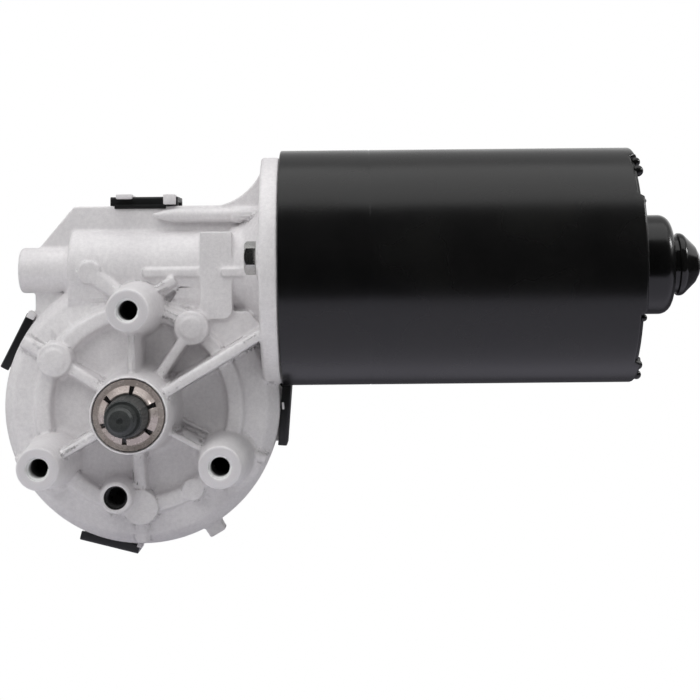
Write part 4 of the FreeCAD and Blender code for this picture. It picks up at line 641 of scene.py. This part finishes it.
def box_of(node):
    """The low and high corners of a CAD node, in mm."""
    corners = [nodes[node].matrix_world @ Vector(corner) for corner in nodes[node].bound_box]
    low = Vector([min(corner[k] for corner in corners) for k in range(3)]) / MM
    high = Vector([max(corner[k] for corner in corners) for k in range(3)]) / MM
    return low, high


print("motor axis, mm:", [round(value / MM, 1) for value in MOTOR[1:]])

# %% [markdown]
# A cast piece has no truly sharp edge. Here the CAD mesh is copied, its loose triangles are
# merged, and a voxel remesh turns it into one even skin. Smoothing that skin rounds every edge and
# fills every inner corner with a small fillet, as the draft and the wear of a mould do. Decimation
# then drops the vertices that flat faces don't need. Bevels would be sharper, but they fail where
# so many shapes meet. Two things are done before the remesh: the tapped bores are widened from
# the core size towards the thread's full size, and a finely turned shell covers the front of the
# worm tunnel, because the CAD's long facets would print through.

# %% Gear housing
CASTING_FLAT = 0.3
BORE_GROWTH = 1.09
BORE_END = 30 * MM
SHELL_START = -24.9
SHELL_END = 22.5
SHELL_R = 14.04
SHELL_INNER_R = 12.5
SHELL_BACK = 36.5
SHELL_DROP = 6.0
SHELL_SIDES = 360
VOXEL = 0.5
SMOOTHING_ROUNDS = 4
KEPT_SHARE = 0.25


def merged_copy(node, flat):
    """A copy of a node's mesh, joined up. Faces that bend by less than flat degrees are merged."""
    copy = nodes[node].copy()
    copy.data = nodes[node].data.copy()
    copy.parent = None
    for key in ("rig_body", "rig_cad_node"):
        del copy[key]
    bpy.context.scene.collection.objects.link(copy)
    alone(copy)
    bpy.ops.object.mode_set(mode="EDIT")
    bpy.ops.mesh.select_all(action="SELECT")
    bpy.ops.mesh.remove_doubles(threshold=0.01 * MM)
    bpy.ops.mesh.dissolve_limited(angle_limit=radians(flat))
    bpy.ops.mesh.select_all(action="DESELECT")
    bpy.ops.object.mode_set(mode="OBJECT")
    return copy


def widen_bores(piece):
    """Widens the tapped bores about their own lines."""
    alone(piece)
    for x, y, z in BORE_PLACES:
        for vertex in piece.data.vertices:
            reach = Vector((vertex.co.x - x, vertex.co.z - z)).length
            vertex.select = reach < BORE_R and vertex.co.y < BORE_END
        bpy.ops.object.mode_set(mode="EDIT")
        bpy.ops.mesh.select_mode(type="VERT")
        bpy.ops.transform.resize(value=(BORE_GROWTH, 1, BORE_GROWTH), center_override=(x, y, z))
        bpy.ops.mesh.select_all(action="DESELECT")
        bpy.ops.object.mode_set(mode="OBJECT")


def tunnel_shell():
    """A finely turned shell over the front of the worm tunnel, cut off behind and below."""
    section = rounded([(SHELL_START, SHELL_INNER_R, 0), (SHELL_START, SHELL_R, 1.2),
                       (SHELL_END, SHELL_R, 0), (SHELL_END, SHELL_INNER_R, 0),
                       (SHELL_START, SHELL_INNER_R, 0)])
    shell = closed(turned_ring(section, SHELL_SIDES))
    alone(shell)
    bpy.ops.object.mode_set(mode="EDIT")
    cuts = (((0, SHELL_BACK * MM, 0), (0, 1, 0)),
            ((0, 0, MOTOR[2] - SHELL_DROP * MM), (0, 0, -1)))
    for place, outward in cuts:
        bpy.ops.mesh.select_all(action="SELECT")
        bpy.ops.mesh.bisect(plane_co=place, plane_no=outward, use_fill=True, clear_outer=True)
    bpy.ops.mesh.select_all(action="DESELECT")
    bpy.ops.object.mode_set(mode="OBJECT")
    return shell


shell = tunnel_shell()
casting = merged_copy("gear_housing", CASTING_FLAT)
widen_bores(casting)
joined(casting, shell)
casting.data.remesh_voxel_size = VOXEL * MM
casting.data.remesh_voxel_adaptivity = 0.0
casting.data.use_remesh_preserve_volume = False
bpy.ops.object.voxel_remesh()
apply_modifier(casting, "SMOOTH", factor=0.5, iterations=SMOOTHING_ROUNDS)
apply_modifier(casting, "DECIMATE", ratio=KEPT_SHARE)
settle(casting, "housing_casting", body_of("gear_housing"), slots["gear_housing"],
       "gear_housing", smooth=180)

# %% [markdown]
# The can is drawn from sheet. Its lip is rolled over the end bell, and four stretches of it are
# pressed further down to lock the bell. Beside them small nubs are staked out of the rim, not the
# same ones at neighbouring notches. A fine line runs round the can where two strokes of the press
# met.

# %% Motor can
can_low, can_high = box_of("motor_can")
CAN_START = can_low.x
CAN_R = (can_high.z - can_low.z) / 2
CAN_WALL = 2.4
CAN_SIDES = 180
INNER_R = CAN_R - CAN_WALL
STAKE_LENGTH = 1.0
CAN_END = can_high.x - STAKE_LENGTH + 0.4
BELL_FACE = CAN_END - CAN_WALL / 2
LIP_R = INNER_R - 1.0
LIP_BAND = 1.8
DRAW_LINE = 81.3
DRAW_LINE_HALF = 0.35
DRAW_LINE_DEPTH = 0.12
NOTCHES = 4
NOTCH_STEP = 360 / NOTCHES
NOTCH_TURN = 39.5
NOTCH_SPAN = 32.0
NOTCH_DEPTH = 2.0
# Nubs of the rim as (turn from the notch's middle, radius, depth under the lip), for the even
# notches and for the odd ones.
RIM_NUBS = (((-12.5, 1.6, 0.4), (-20.0, 1.1, 0.4), (18.0, 0.9, 0.4)),
            ((-13.0, 1.3, 1.3), (35.0, 1.7, -0.4)))


def turn_of(point):
    """The angle of a point about the motor, in degrees from the top towards the front."""
    return degrees(atan2(MOTOR[1] - point.y, point.z - MOTOR[2])) % 360


def at_turn(along, radius, turn):
    """The place at a distance along the motor, a radius and an angle, in metres."""
    reach = radius * MM
    return Vector((along * MM, MOTOR[1] - reach * sin(radians(turn)),
                   MOTOR[2] + reach * cos(radians(turn))))


def near_notch(point):
    turns = [turn_of(point) - NOTCH_TURN - NOTCH_STEP * k for k in range(NOTCHES)]
    return any(abs((turn + 180) % 360 - 180) < NOTCH_SPAN / 2 for turn in turns)


def add_nub(piece, along, radius, turn, size):
    """Joins a small staked nub to a piece."""
    bpy.ops.mesh.primitive_uv_sphere_add(segments=20, ring_count=10, radius=size * MM,
                                         location=at_turn(along, radius, turn))
    joined(piece, bpy.context.object)


section = rounded([(CAN_START, INNER_R, 0), (CAN_START, CAN_R, 0.5),
                   (DRAW_LINE - DRAW_LINE_HALF, CAN_R, 0), (DRAW_LINE, CAN_R - DRAW_LINE_DEPTH, 0),
                   (DRAW_LINE + DRAW_LINE_HALF, CAN_R, 0),
                   (CAN_END - NOTCH_DEPTH - 2.0, CAN_R, 0), (CAN_END, CAN_R, 1.1),
                   (CAN_END, LIP_R, 0.5), (BELL_FACE, LIP_R, 0), (BELL_FACE - 3.0, INNER_R, 0),
                   (CAN_START, INNER_R, 0)])
can = closed(turned_ring(section, CAN_SIDES))
alone(can)
for vertex in can.data.vertices:
    place = can.matrix_world @ vertex.co
    vertex.select = place.x > (CAN_END - LIP_BAND) * MM and near_notch(place)
bpy.ops.object.mode_set(mode="EDIT")
bpy.ops.mesh.select_mode(type="VERT")
bpy.ops.transform.translate(value=(-NOTCH_DEPTH * MM, 0, 0))
bpy.ops.object.mode_set(mode="OBJECT")
for k in range(NOTCHES):
    for turn, size, sunk in RIM_NUBS[k % 2]:
        add_nub(can, CAN_END - sunk, INNER_R + 0.6, NOTCH_TURN + NOTCH_STEP * k + turn, size)
settle(can, "drawn_can", body_of("motor_can"), "satin_black_paint", "motor_can", smooth=30)

# %% [markdown]
# The end bell is a pressed plate with a cup for the rear bearing. It's the same kind of turned
# section, closed in the middle by one flat face that the cap hides. It has one nub at each notch.

# %% End bell
bell_high = box_of("end_bell")[1]
cap_low, cap_high = box_of("end_cap")
CAP_R = (cap_high.z - cap_low.z) / 2
CUP_R = 17.75
CUP_END = bell_high.x + 0.9
BELL_SIDES = 128
BELL_NUB_SUNK = 0.5
# Turn from the notch's middle and radius, for the even notches and for the odd ones.
BELL_NUBS = ((-4.5, 2.0), (22.0, 1.7))

section = rounded([(BELL_FACE - 2.5, INNER_R + 1.0, 0), (BELL_FACE, INNER_R + 1.0, 0),
                   (BELL_FACE, CUP_R, 1.6), (CUP_END, CUP_R, 4.2), (CUP_END, CAP_R - 3.0, 0)], 8)
bell = capped(turned_ring(section, BELL_SIDES))
for k in range(NOTCHES):
    turn, size = BELL_NUBS[k % 2]
    add_nub(bell, CAN_END - BELL_NUB_SUNK, INNER_R, NOTCH_TURN + NOTCH_STEP * k + turn, size)
settle(bell, "pressed_bell", body_of("end_bell"), "gloss_black_paint", "end_bell", smooth=30)

# %% [markdown]
# The cap is a small moulded dome on a neck that goes into the cup. Its corners get large
# roundings, which make the long soft highlights of a glossy plastic.

# %% End cap
CAP_NECK_R = 10.2
CAP_START = CUP_END + 2.3
CAP_RIM = 2.1
CAP_TIP = cap_high.x + 0.8
CAP_SIDES = 96

section = rounded([(CUP_END - 0.6, CAP_NECK_R, 0), (CAP_START, CAP_NECK_R, 0),
                   (CAP_START, CAP_R, 0.7), (CAP_START + CAP_RIM, CAP_R, 2.4),
                   (CAP_TIP - 1.6, 6.6, 3.0), (CAP_TIP, 3.6, 2.4), (CAP_TIP, 1.0, 0)], 8)
cap = capped(turned_ring(section, CAP_SIDES))
settle(cap, "moulded_cap", body_of("end_cap"), "gloss_black_plastic", "end_cap", smooth=30)

# %% [markdown]
# The output shaft ends in a serrated cone and a thread. The serrations are every fourth line of
# vertices, drawn in. The thread is a small triangle that the Screw modifier winds up.

# %% Output shaft
shaft_low, shaft_high = box_of("output_shaft")
SHAFT_R = 7.0
NECK_R = 4.4
CORE_R = 4.3
THREAD_END = shaft_low.y + 6.6
CONE_START = THREAD_END + 1.0
CONE_END = CONE_START + 10.5
SERRATIONS = 30
SHAFT_SIDES = SERRATIONS * 4
SERRATION_SHRINK = 0.978
THREAD_STEPS = 28


def thread(name, place, radius, pitch, turns, tooth, outward):
    """Winds a triangle of the given size round a line along Y. Sizes in mm."""
    tilt = -pi / 2 if outward else pi / 2
    bpy.ops.mesh.primitive_circle_add(vertices=3, radius=tooth * MM, location=Vector(place) * MM,
                                      rotation=(0, 0, tilt))
    piece = bpy.context.object
    bpy.ops.object.transform_apply(location=False, rotation=True, scale=False)
    bpy.ops.object.mode_set(mode="EDIT")
    bpy.ops.mesh.select_all(action="SELECT")
    bpy.ops.transform.translate(value=(radius * MM, 0, 0))
    bpy.ops.object.mode_set(mode="OBJECT")
    apply_modifier(piece, "SCREW", axis="Y", screw_offset=pitch * MM, iterations=turns,
                   steps=THREAD_STEPS, render_steps=THREAD_STEPS)
    piece.name = name
    return piece


section = rounded([(shaft_high.y, SHAFT_R - 2.0, 0), (shaft_high.y, SHAFT_R, 0.5),
                   (CONE_END, SHAFT_R, 0), (CONE_END - 0.3, SHAFT_R - 0.05, 0),
                   (CONE_START + 0.5, 6.25, 0), (CONE_START, 5.8, 0.2), (CONE_START, NECK_R, 0.2),
                   (THREAD_END, NECK_R, 0), (THREAD_END - 0.2, CORE_R, 0),
                   (shaft_low.y + 1.0, CORE_R, 0), (shaft_low.y, 3.5, 0.3),
                   (shaft_low.y, 1.2, 0), (shaft_low.y + 0.9, 0.4, 0)])
shaft = capped(turned_ring(section, SHAFT_SIDES, "Y"))
alone(shaft)
for vertex in shaft.data.vertices:
    place = shaft.matrix_world @ vertex.co
    line_number = round(degrees(atan2(place.z, place.x)) * SHAFT_SIDES / 360)
    on_cone = CONE_START * MM < place.y < (CONE_END - 0.2) * MM
    vertex.select = on_cone and line_number % 4 == 0
bpy.ops.object.mode_set(mode="EDIT")
bpy.ops.transform.resize(value=(SERRATION_SHRINK, 1, SERRATION_SHRINK), center_override=(0, 0, 0))
bpy.ops.object.mode_set(mode="OBJECT")
joined(shaft, thread("shaft_thread", (0, shaft_low.y + 1.3, 0), 4.5, 1.25, 4, 0.5, True))
settle(shaft, "serrated_shaft", body_of("output_shaft"), "phosphated_steel", "output_shaft",
       smooth=30)

# %% [markdown]
# The mounting bosses and the small boss take screws, so their bores show a thread. It's wound in
# the same way, with the triangle pointing inwards, and the four windings become one piece.

# %% Tapped threads
TAPPED_R = 3.8
TAPPED_PITCH = 1.25
TAPPED_TOOTH = 0.45
TAPPED_DEPTH = Vector((0, 0.9, 0))
TAPPED = [(Vector(place) / MM, 14) for place in MOUNT_PLACES]
TAPPED.append((Vector(SMALL_BOSS) / MM, 7))

windings = [thread("tapped_thread", place + TAPPED_DEPTH, TAPPED_R, TAPPED_PITCH, turns,
                   TAPPED_TOOTH, False)
            for place, turns in TAPPED]
settle(joined(*windings), "tapped_threads", "root", "cast_aluminium", smooth=25)

# %% [markdown]
# The washer is a turned sheet. The faces of six sectors are deleted inside the fold, which leaves
# its slots, and the Solidify modifier gives the sheet its thickness.

# %% Star washer
washer_low, washer_high = box_of("star_washer")
SHEET = 0.8
WASHER_R = (washer_high.z - washer_low.z) / 2
WASHER_SIDES = 216
FOLD_R = 9.7
SLOT_STEP = 60
SLOT_START = 21.0
SLOT_HALF = 5.0
rim_y = washer_high.y - SHEET

section = rounded([(rim_y - 0.1, WASHER_R, 0), (rim_y, WASHER_R - 0.3, 0), (rim_y, FOLD_R, 0.8),
                   (rim_y - 1.3, 8.2, 1.2), (rim_y - 2.5, 7.15, 0)], 4)
washer = turned_ring(section, WASHER_SIDES, "Y")
bpy.ops.mesh.select_mode(type="FACE")
bpy.ops.mesh.select_all(action="DESELECT")
bpy.ops.object.mode_set(mode="OBJECT")
for face in washer.data.polygons:
    place = washer.matrix_world @ face.center
    turn = degrees(atan2(place.z, place.x)) - SLOT_START
    from_slot = (turn + SLOT_STEP / 2) % SLOT_STEP - SLOT_STEP / 2
    reach = Vector((place.x, place.z)).length
    face.select = abs(from_slot) < SLOT_HALF and reach < (FOLD_R - 0.1) * MM
bpy.ops.object.mode_set(mode="EDIT")
bpy.ops.mesh.delete(type="FACE")
bpy.ops.object.mode_set(mode="OBJECT")
apply_modifier(washer, "SOLIDIFY", thickness=SHEET * MM, offset=-1.0)
apply_modifier(washer, "BEVEL", width=0.1 * MM, segments=2, limit_method="ANGLE",
               angle_limit=radians(40))
settle(washer, "star_washer_pressed", body_of("star_washer"), "nickel_spring_steel",
       "star_washer", smooth=40)

# %% [markdown]
# Small pressed and moulded pieces keep the CAD's faces, with a narrow bevel on each edge that
# catches the light.

# %% Small pieces
PRESSED_FLAT = 0.5
EDGE_ANGLE = 28


def edged(node, name, width):
    """A copy of a node whose edges are bevelled by width mm."""
    copy = merged_copy(node, PRESSED_FLAT)
    apply_modifier(copy, "BEVEL", width=width * MM, segments=2, limit_method="ANGLE",
                   angle_limit=radians(EDGE_ANGLE), use_clamp_overlap=True)
    settle(copy, name, body_of(node), slots[node], node, smooth=35)


edged("rear_cover", "moulded_cover", 0.35)
edged("connector_housing", "moulded_socket", 0.3)
edged("flange_screws", "hex_screws", 0.25)
for side in ("top", "left", "bottom", "right"):
    edged("cover_clip_" + side, "spring_clip_" + side, 0.25)

# %% [markdown]
# Small cast lugs stand up through the clips or beside them, and the top clip has a lip over the
# front edge. Each is a cube, scaled and bevelled.

# %% Lugs and lip
# Each block is a middle and a size in mm, and a turn about Y in degrees.
LUGS = [((10.2, 41.7, 73.5), (4.2, 6.0, 3.6), 0), ((-6.1, 43.0, 74.6), (5.6, 6.0, 1.7), 0),
        ((-39.6, 43.4, 32.6), (2.9, 5.0, 2.6), 27), ((-1.6, 44.0, -49.7), (2.0, 5.0, 2.2), 14),
        ((50.0, 40.2, -0.4), (0.8, 1.0, 2.6), -4)]
CLIP_LIP = ((-0.4, 41.6, 71.0), (18.4, 1.0, 1.5), 0)


def small_block(place, size, turn):
    bpy.ops.mesh.primitive_cube_add(size=MM, location=Vector(place) * MM,
                                    rotation=(0, radians(turn), 0))
    block = bpy.context.object
    block.scale = size
    bpy.ops.object.transform_apply(location=False, rotation=False, scale=True)
    apply_modifier(block, "BEVEL", width=0.3 * MM, segments=2)
    return block


lugs = joined(*[small_block(*lug) for lug in LUGS])
settle(lugs, "cast_lugs", "root", "cast_aluminium", smooth=35)
settle(small_block(*CLIP_LIP), "clip_lip", "root", "black_spring_steel", smooth=35)
